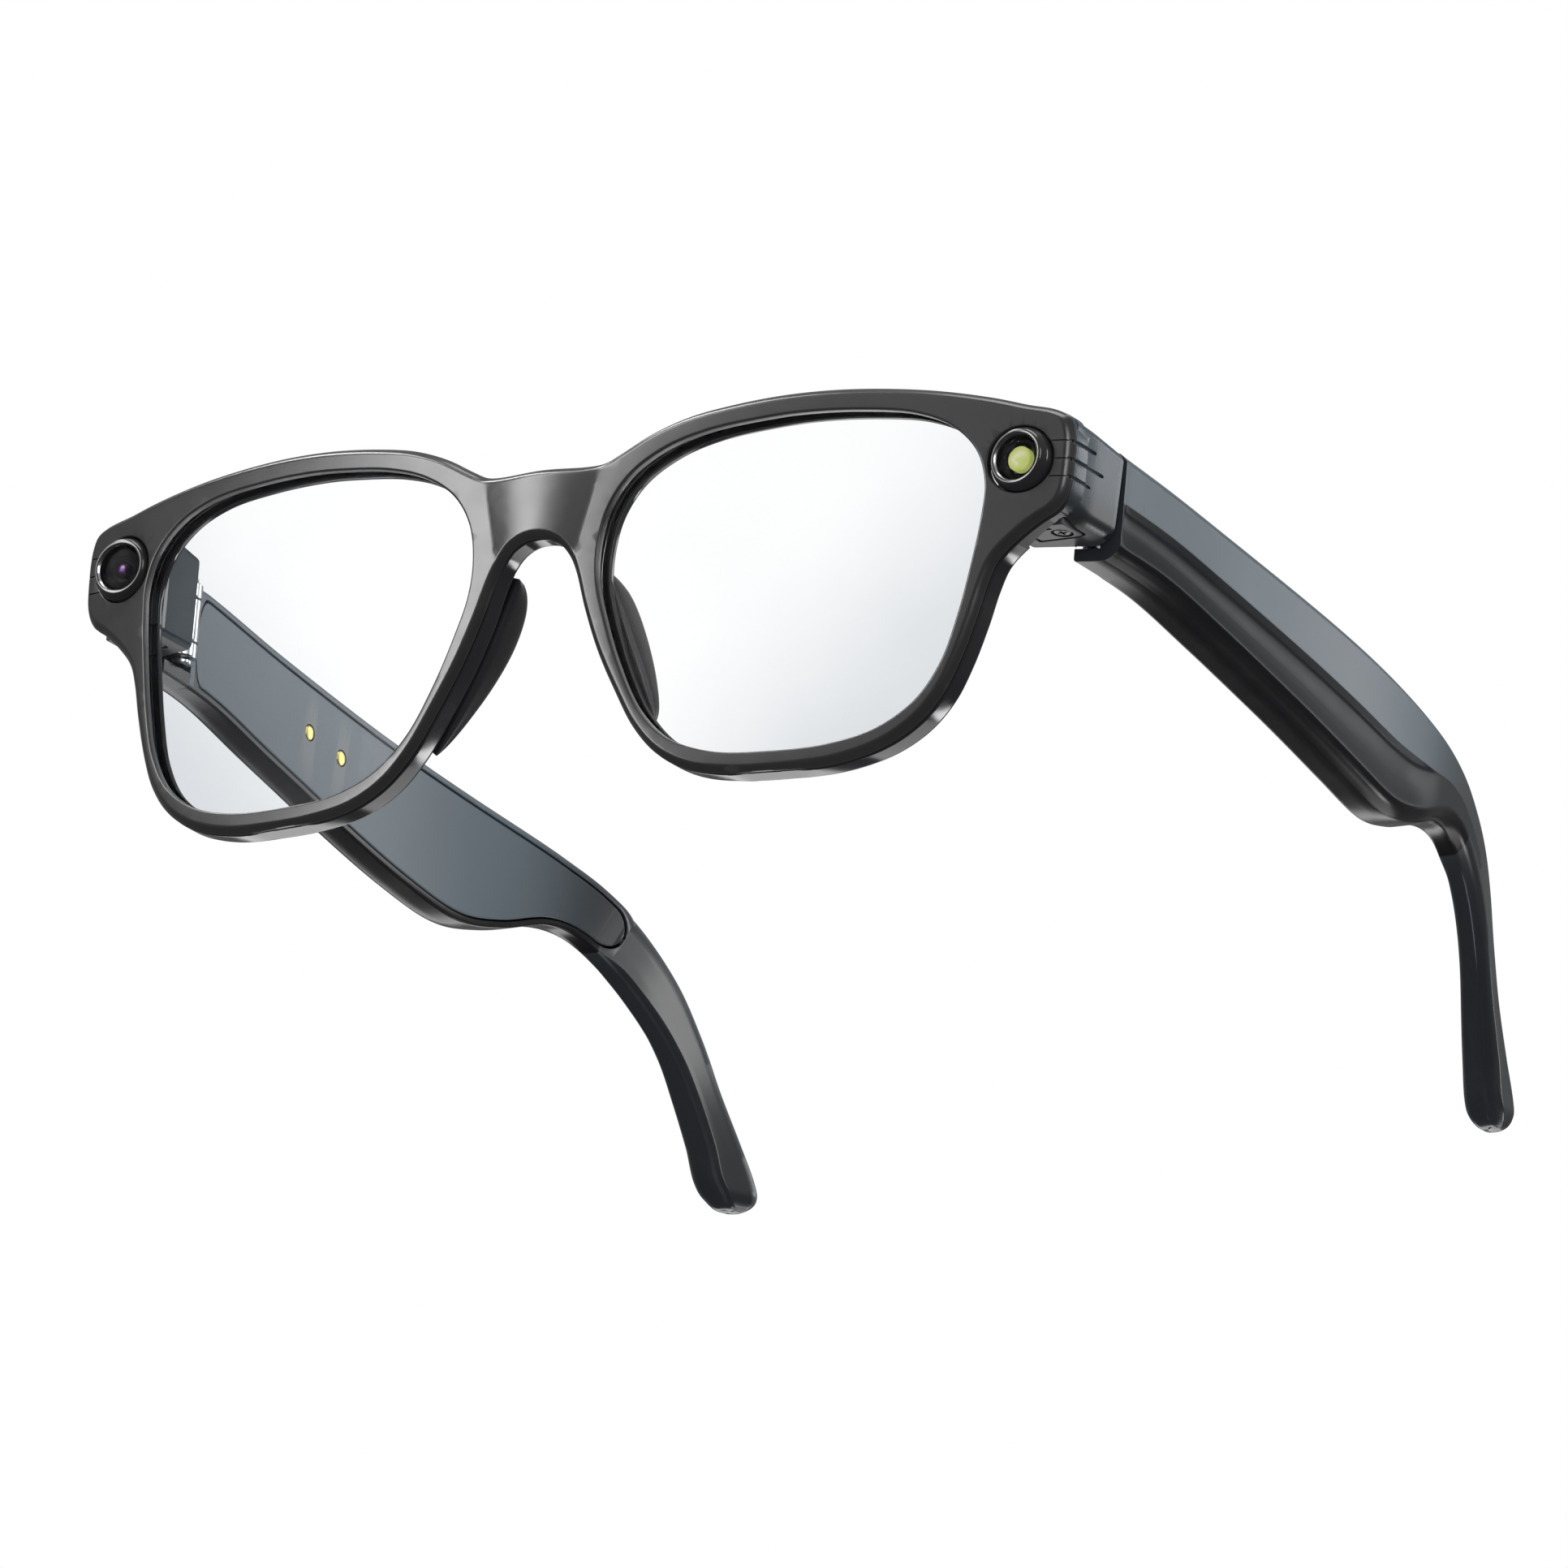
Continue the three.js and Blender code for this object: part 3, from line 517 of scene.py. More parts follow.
def ring_distance(n, side):
    """Distance from the axis of the camera (side -1) or the light (side 1), in metres."""
    centre = WORN @ Vector((side * EYE_X, 6.5, EYE_Z))
    shift = n.add("ShaderNodeVectorMath", operation="SUBTRACT")
    shift.inputs[1].default_value = centre
    n.link(n.place, shift.inputs[0])
    flat = n.add("ShaderNodeVectorMath", operation="MULTIPLY")
    flat.inputs[1].default_value = (1, 0, 1)
    n.link(shift.outputs[0], flat.inputs[0])
    length = n.add("ShaderNodeVectorMath", operation="LENGTH")
    n.link(flat.outputs[0], length.inputs[0])
    return length.outputs["Value"]


def phosphor():
    """Yellow-green phosphor: grains, paler towards the middle, with its colour also given off as a faint
    painted glow.
    """
    n = Nodes("emitter", Roughness=0.45, Specular_IOR_Level=0.1, Emission_Strength=0.8)
    cells = n.add("ShaderNodeTexVoronoi")
    cells.inputs["Scale"].default_value = 900
    n.link(n.place, cells.inputs["Vector"])
    grains = n.remap(cells.outputs["Distance"], 0.1, 0.8, 0, 1)
    rim = n.blend(grains, (0.62, 0.74, 0.16), (0.72, 0.80, 0.26))
    core = n.blend(n.remap(n.noise(700, 3), 0.42, 0.6, 0, 1), (0.74, 0.82, 0.32), (0.95, 0.92, 0.66))
    paint = n.blend(n.remap(ring_distance(n, 1), 0.0002, 0.0016, 1, 0), rim, core)
    n.colour(paint)
    # Painted light: the phosphor gives off its own colour as a faint glow.
    n.link(paint, n.shader.inputs["Emission Color"])
    n.bump(grains, 0.2, 0.00005)
    return n.material


def camera_glass():
    """Coated camera lens with a painted reflection: violet with painted glints in the middle, black outside.
    """
    n = Nodes("camera_lens", Roughness=0.05, Specular_IOR_Level=0.05, Emission_Strength=2.2)
    away = ring_distance(n, -1)
    painted_glints = n.remap(n.noise(1500, 1), 0.5, 0.62, 0, 1)
    core = n.blend(painted_glints, (0.20, 0.06, 0.36), (0.85, 0.62, 1.0))
    paint = n.blend(n.remap(away, 0.0001, 0.00065, 0, 1), core, (0.012, 0.009, 0.016))
    n.colour(paint)
    # Painted light: the violet middle is also given off as emission, so the painted reflection glows.
    glow = n.blend(n.remap(away, 0.0001, 0.0005, 0, 1), core, (0.0, 0.0, 0.0))
    n.link(glow, n.shader.inputs["Emission Color"])
    return n.material


def barrel_black():
    """Black barrel around the camera lens, with a faint brown reflection of the lens coating painted near
    the middle.
    """
    n = Nodes("mask_black", Roughness=0.35, Specular_IOR_Level=0.04)
    away = ring_distance(n, -1)
    # Painted reflection: brown near the lens, black further out.
    n.colour(n.blend(n.remap(away, 0.0007, 0.0019, 0, 1), (0.030, 0.018, 0.021), (0.003, 0.003, 0.004)))
    n.rough(n.remap(n.noise(500, 2), 0.3, 0.7, 0.3, 0.42))
    return n.material


def circuit():
    """Solder mask with pads and traces."""
    n = Nodes("circuit", Roughness=0.45)
    brick = n.add("ShaderNodeTexBrick")
    brick.inputs["Scale"].default_value = 420
    brick.inputs["Color1"].default_value = (0.012, 0.10, 0.05, 1)
    brick.inputs["Color2"].default_value = (0.016, 0.13, 0.07, 1)
    brick.inputs["Mortar"].default_value = (0.45, 0.33, 0.10, 1)
    brick.inputs["Mortar Size"].default_value = 0.03
    n.link(n.place, brick.inputs["Vector"])
    n.colour(brick.outputs["Color"])
    n.rough(n.remap(n.noise(700, 2), 0.3, 0.7, 0.35, 0.55))
    return n.material


SATIN = moulding("front_satin", (0.0165, 0.0160, 0.0166), (0.0195, 0.0190, 0.0197), 0.25, bump=0.03)
GLOSS = moulding("frame_gloss", (0.009, 0.009, 0.010), (0.012, 0.012, 0.014), 0.13, 1500, 0.04)
SLATE = temple_plastic()
UNDER = moulding("temple_gloss", (0.005, 0.005, 0.006), (0.007, 0.007, 0.008), 0.22, 1500, 0.03,
                 Specular_IOR_Level=0.22)
# Painted shade: the recessed channel below the crease gets a near-black satin.
SHADED_CHANNEL = moulding("temple_channel_painted_shade", (0.010, 0.012, 0.015), (0.013, 0.015, 0.018), 0.36, 2400, 0.05,
                   Specular_IOR_Level=0.2)
HOUSE = housing_plastic_painted_shade()
BELOW = moulding("housing_under", (0.020, 0.020, 0.022), (0.025, 0.025, 0.027), 0.36, 2400, 0.05,
                 Specular_IOR_Level=0.25)
INNER = moulding("housing_inner", (0.022, 0.034, 0.043), (0.027, 0.040, 0.050), 0.34,
                 Specular_IOR_Level=0.15)
RUBBER = moulding("nose_pad", (0.010, 0.010, 0.011), (0.014, 0.014, 0.016), 0.24, 1800, 0.06)
RING = moulding("ring_black", (0.012, 0.012, 0.013), (0.016, 0.016, 0.018), 0.16, 2000, 0.05)
STEEL = metal("steel", (0.80, 0.82, 0.85), 0.24)
DARK_STEEL = metal("dark_steel", (0.16, 0.16, 0.17), 0.34)
TRIM = metal("ring_trim", (0.66, 0.66, 0.68), 0.2)
GOLD = metal("gold", (0.86, 0.72, 0.24), 0.26)
LENS = lens_glass()
WINDOW = window_glass()
EMITTER = phosphor()
CAMERA = camera_glass()
BARREL = barrel_black()
MASK = moulding("light_mask", (0.005, 0.005, 0.006), (0.007, 0.007, 0.008), 0.3, Specular_IOR_Level=0.04)
CIRCUIT = circuit()
CELL = metal("cell", (0.5, 0.53, 0.57), 0.4, (500, 500, 900))
FLEX = moulding("flex", (0.42, 0.17, 0.04), (0.50, 0.22, 0.06), 0.35, 900, 0.08)


# ---- front cover and frame --------
outline = centripetal(FRONT_HALF + [(-x, z) for x, z in FRONT_HALF[-2:0:-1]], 640)
opening = centripetal(LENS_OPENING, 240)


def front_depth(x):
    return x * x / (2 * FRONT_RADIUS)


def facet_half(z):
    """Half width of the bridge facet, wider towards its top."""
    return 5.6 + max(0.0, z - 2) * 0.245


def bridge_bump(x, half):
    return BRIDGE_BUMP * max(0.0, 1 - (x / half)**2)


def bend_cover(x, y, z):
    return x, y + front_depth(x) - bridge_bump(x, facet_half(z)), z


def bend_frame(x, y, z):
    return x, y + front_depth(x) - bridge_bump(x, BRIDGE_HALF), z


def slab(loops, spacing, extra=()):
    """A plate: each loop with its profile of (distance into the material, depth), front to back."""
    shape = Shape()
    ends = []
    for loop, side, profile in loops:
        rings = [shape.ring((x, depth, z) for x, z in grow(loop, side * into)) for into, depth in profile]
        for a, b in zip(rings, rings[1:]):
            shape.bridge(a, b)
        ends.append((rings[0], rings[-1]))
    shape.sheet([front for front, _ in ends], extra, loops[0][2][0][1], spacing)
    shape.sheet([back for _, back in ends], (), loops[0][2][-1][1], spacing * 1.5)
    return shape


def pair(loop):
    return [loop, loop * (-1, 1)]


def groove_tools():
    """Three grooves at each end: a fine line on the front that runs into a wider slot on the side."""
    slots, lines = Shape(), Shape()
    for z, end in GROOVES:
        lip = [(74.5, 0.26), (71.45, 0.26), (71.4, 0.0), (72.1, -0.42), (74.5, -0.42)]
        rings = []
        for y, size in ((7.6, 1), (end - 0.5, 1), (end - 0.2, 0.8), (end - 0.05, 0.5), (end, 0.15)):
            rings.append([(x, y, z + h * size) for x, h in lip])
        slots.add(both(Shape().loft(rings)))
        line = []
        for x, deep in ((69.0, -0.05), (69.5, 0.12), (70.2, 0.2), (71.0, 0.24), (72.6, 0.35)):
            face = front_depth(x)
            line.append([(x, face - 2, z - 0.13), (x, face + deep, z - 0.09), (x, face + deep, z + 0.09),
                         (x, face - 2, z + 0.13)])
        lines.add(both(Shape().loft(line)))
    return slots, lines


def make_bezel():
    edge = [(1.15, 0), (0.95, 0.015), (0.78, 0.08), (0.6, 0.22), (0.42, 0.4), (0.27, 0.62), (0.14, 0.87),
            (0.05, 0.97), (0.1, 1.0), (0.4, 1.0)]
    mouth = [(0.34, 0), (0.2, 0.02), (0.09, 0.09), (0.02, 0.2), (0, 0.34), (0, 0.95), (0.05, 1.0),
             (0.3, 1.0)]
    eye = [(0.2, 0), (0.1, 0.02), (0.03, 0.07), (0, 0.16), (0, 1.0), (0.15, 1.0)]
    circle = np.array(arc(EYE_X, EYE_Z, 4.25, 0, 355, 72))
    crease = []
    for z in np.arange(2.5, 14, 0.55):
        for off in (-0.35, 0.0, 0.35):
            crease += [(side * (facet_half(z) + off), z) for side in (-1, 1)]
    crease += [(x, z) for x in np.arange(-4.5, 4.6, 0.75) for z in np.arange(5.5, 13.5, 1.3)]
    loops = [(outline, -1, edge)] + [(hole, 1, mouth) for hole in pair(opening)]
    loops += [(hole, 1, eye) for hole in pair(circle)]
    obj = slab(loops, 1.9, crease).move(bend_cover).object("bezel")
    for tools in groove_tools():
        cut(obj, tools)
    show(obj, "front_bezel", "front", [SATIN], 28)


def housing_wall(x):
    """Depth of the housing's slanted rear wall."""
    return HOUSING_REAR + (x - HOUSING_INNER) * HOUSING_SLANT


def housing_ring(forward, inset):
    """A rounded rectangle; forward is 0 at the front and 1 at the rear wall."""
    start = 1 - ease(forward / 0.45)
    outer = HOUSING_OUTER - 0.25 * start - inset
    top = 15.75 - 1.3 * forward - inset
    inner, bottom = HOUSING_INNER + inset, HOUSING_BOTTOM + inset
    corners = [(outer, bottom, 2.4 + 1.2 * start, -90), (outer, top, 1.3, 0), (inner, top, 0.8, 90),
               (inner, bottom, 0.8, 180)]
    ring = []
    for x, z, radius, angle in corners:
        cx = x - radius if x == outer else x + radius
        cz = z - radius if z == top else z + radius
        ring += arc(cx, cz, radius, angle, angle + 90, 9)
    crown = [(x - 0.007 * (z - 12)**2 if x > HOUSING_OUTER - 4 else x, z) for x, z in ring]
    return [(x, HOUSING_FRONT + forward * (housing_wall(x) - HOUSING_FRONT), z) for x, z in crown]


def make_frame():
    edge = [(0.45, 1.3), (0.25, 1.3), (0.12, 1.34), (0.03, 1.43), (0, 1.58), (0, 3.6), (0.05, 3.85),
            (0.18, 4.1), (0.42, 4.31), (0.8, 4.4)]
    seat = [(1.3, 1.3), (1.14, 1.3), (1.1, 1.35), (1.1, 3.15), (1.05, 3.2), (0.12, 3.2), (0.03, 3.25),
            (0, 3.35), (0, 3.95), (0.06, 4.18), (0.2, 4.33), (0.5, 4.4)]
    loops = [(outline, -1, edge)] + [(hole, 1, seat) for hole in pair(opening)]
    obj = slab(loops, 2.4).move(bend_frame).object("frame")
    steps = [(f, 0.0) for f in np.linspace(0, 0.96, 13)] + [(0.975, 0.02), (0.99, 0.1), (1.0, 0.28)]
    housing = Shape().loft([housing_ring(f, i) for f, i in steps])
    join(obj, housing)
    join(obj, housing.mirrored())
    cut(obj, both(block((63.0, 70.6), (8.8, 15.25), (3.9, 14.4), 0.3)))
    cut(obj, both(turned([(3.0, 5), (3.0, 9.4)], EYE_X, EYE_Z, 64)))
    join(obj, both(block((SCREW_X - 1.5, SCREW_X + 1.5), (11.8, 15.5), (3.95, 7.2))))
    cut(obj, both(block((63.6, 70.2), (9.8, 15.2), (0, 3.93), 0.35)))
    cut(obj, both(block((HINGE.x - 1.3, HINGE.x + 1.3), (16.0, 30), (3.3, 13.5))))
    for tools in groove_tools():
        cut(obj, tools)
    cut(obj, both(turned([(0.85, 0), (0.85, 6.9)], SCREW_X, SCREW_Y, 32, "Z")))

    def part(centre):
        """0 frame; 1 outside of the housing; 2 its underside; 3 its inner face."""
        side, behind = abs(centre.x), centre.y - front_depth(centre.x)
        if side < 61.7 and behind > 4.7 and centre.z > HOUSING_BOTTOM:
            return 3
        if side > 61 and -0.5 < centre.z < HOUSING_BOTTOM + 0.6 and behind > 2.2:
            return 2
        return 1 if (side > 70.6 and centre.z > 2.2) or (behind > 4.5 and side > 60) else 0
    show(obj, "main_frame", "front", [GLOSS, HOUSE, BELOW, INNER], 32, part)


def make_lens():
    edge = [(0.5, 0), (0.28, 0.03), (0.1, 0.14), (0, 0.34), (0, 1.26), (0.1, 1.46), (0.28, 1.57), (0.5, 1.6)]
    loop = grow(opening, LENS_HOLD)
    shape = slab([(loop, -1, edge)], 3.0)
    return shape.move(lambda x, y, z: (x, y + LENS_FRONT + front_depth(x), z))


def make_nose_pad():
    shape = Shape()
    rings = []
    steps = 44
    for i in range(steps + 1):
        down = i / steps
        (x, z), (ax, az) = spline(NOSE_EDGE, 0.06 + 0.8 * down)
        swell = math.sin(math.pi * min(max(down, 0.004), 0.996))
        depth = 0.4 + 5.4 * math.sin(math.pi * down**0.66)**0.85
        width = 0.8 + 2.8 * swell**0.45
        section = soften([(0, 0), (0.02, 0.45), (0.12, 0.8), (0.5, 1.06), (0.88, 0.85), (1, 0.5), (1, 0)],
                         0.3, True, 4)
        ring = []
        for n, d in section:
            off = 0.1 + n * width
            ring.append((x - az * off, front_depth(x) + 4.85 + d * depth, z + ax * off))
        rings.append(ring)
    return shape.loft(rings)


def both_sides(shape, node, materials, sharp=32):
    show(shape.object(node), node + "_left", "front", materials, sharp)
    show(shape.mirrored().object(node), node + "_right", "front", materials, sharp)


make_bezel()
make_frame()
both_sides(make_lens(), "lens", [LENS])
both_sides(make_nose_pad(), "nose_pad", [RUBBER], 50)


# ---- camera and light windows --------
ring_profile = closed_profile(
    [(2.88, 5.5), (3.08, 5.24), (3.4, 5.2), (3.62, 5.36), (4.02, 6.15), (4.1, 6.5), (4.1, 7.5), (2.88, 7.5)],
    [0.02, 0.05, 0.12, 0.12, 0.12, 0.12, 0.1, 0.02])
glass_profile = [(0.0, 5.36), (0.8, 5.37), (1.6, 5.40), (2.3, 5.45), (2.56, 5.49), (2.65, 5.56),
                 (2.65, 6.0), (0.0, 6.0)]
mask_profile = closed_profile([(2.1, 6.3), (2.6, 6.3), (2.6, 6.75), (2.1, 6.75)], 0.06)
dome = [(1.6 * math.sin(a), 6.25 - 0.2 * math.cos(a)) for a in np.radians(np.linspace(0, 88, 12))]
emitter_profile = dome + [(1.6, 7.1), (0.0, 7.1)]
barrel_profile = closed_profile(
    [(1.15, 6.95), (1.25, 6.75), (1.35, 6.8), (1.5, 6.55), (1.62, 6.6), (1.85, 6.4), (2.6, 6.3), (2.6, 6.7),
     (2.15, 6.72), (2.15, 8.5), (1.15, 8.5)], 0.04)
front_dome = [(0.85 * math.sin(a), 6.48 - 0.4 * math.cos(a)) for a in np.radians(np.linspace(0, 90, 14))]
camera_profile = front_dome + [(0.85, 8.4), (0.0, 8.4)]


def ring_finish(centre):
    """1 on the bright bevel round the inside of the ring."""
    return 1 if math.hypot(abs(centre.x) - EYE_X, centre.z - EYE_Z) < 3.06 and centre.y < 5.5 else 0


for node, profile, slot, material in (
        ("light_ring_left", ring_profile, "ring_black", RING),
        ("light_glass_left", glass_profile, "window_clear", WINDOW),
        ("light_mask_left", mask_profile, "mask_black", MASK),
        ("light_emitter_left", emitter_profile, "emitter", EMITTER),
        ("camera_ring_right", ring_profile, "ring_black", RING),
        ("camera_glass_right", glass_profile, "window_clear", WINDOW),
        ("camera_barrel_right", barrel_profile, "mask_black", BARREL),
        ("camera_lens_right", camera_profile, "camera_lens", CAMERA)):
    drawn = turned(profile, EYE_X, EYE_Z)
    drawn = drawn.mirrored() if node.endswith("right") else drawn
    is_ring = material == RING
    show(drawn.object(node), node, "front", [RING, TRIM] if is_ring else [material], 40,
         ring_finish if is_ring else None)


# ---- hatches, screws and hinges --------
def make_hatch(mirror):
    lid = mirror(block((63.9, 69.9), (10.1, 14.9), (HOUSING_BOTTOM + 0.05, 3.6), 0.4, 0.12)).object("hatch")
    cut(lid, mirror(block((65.2, 67.6), (11.0, 11.6), (0, 6), 0.29)))
    cut(lid, mirror(turned([(1.55, 0), (1.4, 2.75), (1.4, 3.0)], SCREW_X, SCREW_Y, 64, "Z")))
    return cut(lid, mirror(turned([(0.85, 0), (0.85, 6)], SCREW_X, SCREW_Y, 48, "Z")))


def make_screw(mirror):
    z = HOUSING_BOTTOM + 0.1
    body = [(0.0, z), (0.8, z), (1.02, z + 0.05), (1.1, z + 0.14), (1.1, 2.9), (0.55, 2.92)]
    thread = [(0.55 - 0.06 * (i % 2), 3.1 + i * 0.15) for i in range(22)]
    end = [(0.35, 6.5), (0.0, 6.5)]
    x, y = SCREW_X, SCREW_Y
    screw = mirror(turned(body + thread + end, x, y, 48, "Z")).object("screw")
    cut(screw, mirror(block((x - 0.7, x + 0.7), (y - 0.17, y + 0.17), (0, z + 0.22))))
    return cut(screw, mirror(block((x - 0.17, x + 0.17), (y - 0.7, y + 0.7), (0, z + 0.221))))


def knuckle(z, toward):
    """A barrel with a web one way: toward is the (x, y) box of the web."""
    low, high = z
    profile = [(1.0, low), (1.78, low), (1.9, low + 0.12), (1.9, high - 0.12), (1.78, high), (1.0, high)]
    barrel = turned(profile, HINGE.x, HINGE.y, 72, "Z")
    web = block(toward[:2], toward[2:], (low + 0.04, high - 0.04))
    return barrel, web


def drill(mirror, z0=0.0, z1=20.0):
    return mirror(turned([(1.0, z0), (1.0, z1)], HINGE.x, HINGE.y, 72, "Z"))


def make_front_hinge(mirror):
    x, y = HINGE.x, HINGE.y
    leaf = block((x - 1.02, x + 1.02), (16.3, 18.4), (KNUCKLE_LOW[0], KNUCKLE_HIGH[1]), 0.2, 0.1)
    hinge = mirror(leaf).object("hinge")
    for z in (KNUCKLE_LOW, KNUCKLE_HIGH):
        barrel, web = knuckle(z, (x - 1, x + 1, 18.2, y))
        join(hinge, mirror(web))
        join(hinge, mirror(barrel))
    return cut(hinge, drill(mirror))


def make_temple_hinge(mirror):
    x, y = HINGE.x, HINGE.y
    z = KNUCKLE_MIDDLE
    barrel, web = knuckle(z, (x, 69.4, y + 0.5, y + 2.2))
    hinge = mirror(block((68.35, 69.42), (y + 0.6, 33), (z[0] + 0.07, z[1] - 0.6), 0.3, 0.1)).object("hinge")
    join(hinge, mirror(web))
    join(hinge, mirror(barrel))
    cut(hinge, drill(mirror))
    holes = Shape()
    for place in (28, 31):
        holes.add(contact(place, [(0.7, 66), (0.7, 71)]))
    return cut(hinge, mirror(holes))


def make_pin(mirror):
    low, high = KNUCKLE_LOW[0] - GAP, KNUCKLE_HIGH[1] + GAP
    profile = soften([(0.0, low - 0.5), (1.3, low - 0.5), (1.3, low), (0.7, low), (0.7, high), (1.3, high),
                      (1.3, high + 0.5), (0.0, high + 0.5)], 0.12)
    return mirror(turned([tuple(p) for p in profile], HINGE.x, HINGE.y, 64, "Z")).object("pin")


def contact(y, profile, sides=64):
    """A turned piece across the temple, at the height of the charging contacts: profile of (radius, x)."""
    z = CONTACT_HEIGHT - (y - CONTACTS[0]) * CONTACT_FALL
    rings = []
    for radius, x in profile:
        around = arc(0, 0, max(radius, 1e-3), 0, 360 - 360 / sides, sides)
        rings.append([(x, y + a, z + b) for a, b in around])
    return Shape().loft(rings)


def keep(shape):
    return shape


for side, mirror in (("left", keep), ("right", Shape.mirrored)):
    show(make_hatch(mirror), f"housing_hatch_{side}", "front", [BELOW])
    show(make_screw(mirror), f"hatch_screw_{side}", "front", [DARK_STEEL])
    show(make_front_hinge(mirror), f"front_hinge_{side}", "front", [STEEL])
    show(make_pin(mirror), f"hinge_pin_{side}", "front", [STEEL])


# ---- temples --------
def temple_middle(y):
    """Sideways place of the temple's middle: chords joined with their mean slopes."""
    knots = TEMPLE_MIDDLE
    slopes = [(b[1] - a[1]) / (b[0] - a[0]) for a, b in zip(knots, knots[1:])]
    means = [slopes[0]] + [(a + b) / 2 for a, b in zip(slopes, slopes[1:])] + [slopes[-1]]
    i = max(k for k in range(len(knots) - 1) if k == 0 or knots[k][0] <= y)
    (y0, x0), (y1, x1) = knots[i], knots[i + 1]
    length = y1 - y0
    return hermite((y - y0) / length, x0, x1, means[i] * length, means[i + 1] * length)


def temple_thickness(at):
    plain = TEMPLE_THICKNESS - ease((at - 6) / 2.5) * 1.4 + ease((at - 10.5) / 3) * 0.9
    blunt = ease((at - LAST + 1.6) / 1.6) * 2.0
    nose = min(1.0, max(0.0, (at - LAST + 0.55) / 0.55))
    return (plain - blunt) * (0.25 + 0.75 * math.sqrt(1 - nose * nose))


def rounded_end(at, start, end):
    """Share of the full height left by the rounded ends of the cover or its pocket."""
    near = min(max(min((at - start) / 0.12, (end - at) / 0.42), 0), 1)
    return max(0.1, math.sqrt(1 - (1 - near)**2))


def temple_ring(at, section):
    low, high = spline(TEMPLE_BOTTOM, at / LAST)[0], spline(TEMPLE_TOP, at / LAST)[0]
    height = float(np.linalg.norm(high - low))
    ring = []
    for n, v in section(height, temple_thickness(at), at):
        y, z = low + (high - low) * v / height
        ring.append([temple_middle(y) + n, y, z])
    return ring


PLACES = np.linspace(0, LAST, 1201)
DEPTHS = [(spline(TEMPLE_TOP, p / LAST)[0][0] + spline(TEMPLE_BOTTOM, p / LAST)[0][0]) / 2 for p in PLACES]


def temple_at(y):
    """The place along the temple that lies at a depth."""
    return float(np.interp(y, DEPTHS, PLACES))


SHELL_FRONT = 19.1                  # the shell starts here, just behind the housing's rear wall
LEAF_END = temple_at(24.4)          # its thick part starts here, behind the hinge
SHELF = 2.4                         # below this height it reaches forward under the hinge
POCKET = (0.685, COVER_END + 0.045)


def shell_section(height, thickness, at):
    half = thickness / 2
    scale = min(1.0, height / 6)
    channel = CHANNEL_DEPTH * ease((at - 0.30) * 6) * (1 - ease((at - 5.4) / 1.1))
    crease = height * 0.54
    ridge = min(2.0, height * 0.34)
    is_open = POCKET[0] < at < POCKET[1]
    lip = (height / 2 - WALL) * rounded_end(at, POCKET[0], POCKET[1]) if is_open else height * 0.2
    shelf = SHELF - spline(TEMPLE_BOTTOM, at / LAST)[0][1] if at < LEAF_END else 0.42 * scale
    tail = ease((at - COVER_END + 0.3) / 0.8)
    floor = INNER_WALL if is_open else -half
    corners = [
        (-half, height, (0.7 + 1.5 * tail) * scale),
        (half - 0.95 * scale, height, (0.25 + 0.6 * tail) * scale),
        (half, height - 1.05 * scale, 0.25 * scale),
        (half, crease, 0.08), (half - 0.8 * channel, crease - 0.55 * scale, 0.5),
        (half - channel, crease - 0.36 * (crease - ridge), 1.4),
        (half - 0.6 * channel, ridge + 0.3 * (crease - ridge), 1.4), (half, ridge, 0.3 * scale),
        (half - 0.5 * scale, ridge * 0.5, 0.5 * scale), (half - 1.5 * scale, 0.15 * scale, 0.5 * scale),
        (0.6 * tail, 0, 0.5 * scale), (-half + 0.4 * tail, 0.2 * tail, 0.4 * scale),
        (-half, shelf + 0.5 * tail, 0.02 + 0.4 * tail),
        (-half, shelf + 0.08 + 0.8 * tail, 0.02 + 0.4 * tail),
        (-half, height / 2 - lip, 0.1),
        (floor, height / 2 - lip, 0.1), (floor, height / 2 + lip, 0.1), (-half, height / 2 + lip, 0.1)]
    return soften([c[:2] for c in corners], [c[2] for c in corners], True, 3)


def temple_steps(first, last, marks=()):
    """Places along the temple about a millimetre apart, closer at its ends and at the marks."""
    places = [first]
    while places[-1] < last:
        at = places[-1]
        near = min([abs(at - m) for m in (first, last, *marks)])
        length = 14 if at < 5 else 9
        places.append(at + min(1.1, 0.2 + near * length * 0.35) / length)
    places[-1] = last
    for mark in marks:
        places += [mark - 2e-3, mark + 2e-3]
    return sorted(places)


def hinge_room(ring):
    """In front of the thick part only the outer wall goes on beside the hinge, and a shelf under it."""
    return [[max(x, 69.6) if z > SHELF + 0.04 else x, y, z] for x, y, z in ring]


def make_shell(mirror, has_button):
    rings = []
    start, settled = temple_at(SHELL_FRONT), 0.45
    places = temple_steps(start, LAST, (LEAF_END, *POCKET)) + list(np.linspace(8.36, COVER_END + 0.04, 20))
    for at in sorted(places):
        ring = temple_ring(at, shell_section)
        ring = hinge_room(ring) if at < LEAF_END else ring
        slant = 1 - ease((at - start) / (settled - start))
        rings.append([[x, y + slant * (housing_wall(x) + 0.35 - SHELL_FRONT), z] for x, y, z in ring])
    shell = mirror(Shape().loft(rings)).object("shell")
    tools = Shape()
    for i in range(SLOTS):
        tools.add(speaker_slot(FIRST_SLOT + i * SLOT_STEP))
    if has_button:
        tools.add(pill(1.32, BUTTON_HALF + 0.28, (8.9, 20), 0.0))
    return cut(shell, mirror(tools))


def speaker_slot(y):
    """One slot over the loudspeaker, through the top of the shell."""
    corners = [(-1, -0.3), (1, -0.3), (1, 0.3), (-1, 0.3)]
    outline = [(68.5 + a * 1.0, y + b) for a, b in soften(corners, 0.28, True)]
    return extruded(np.array(outline), (4.6, 10), 0.0)


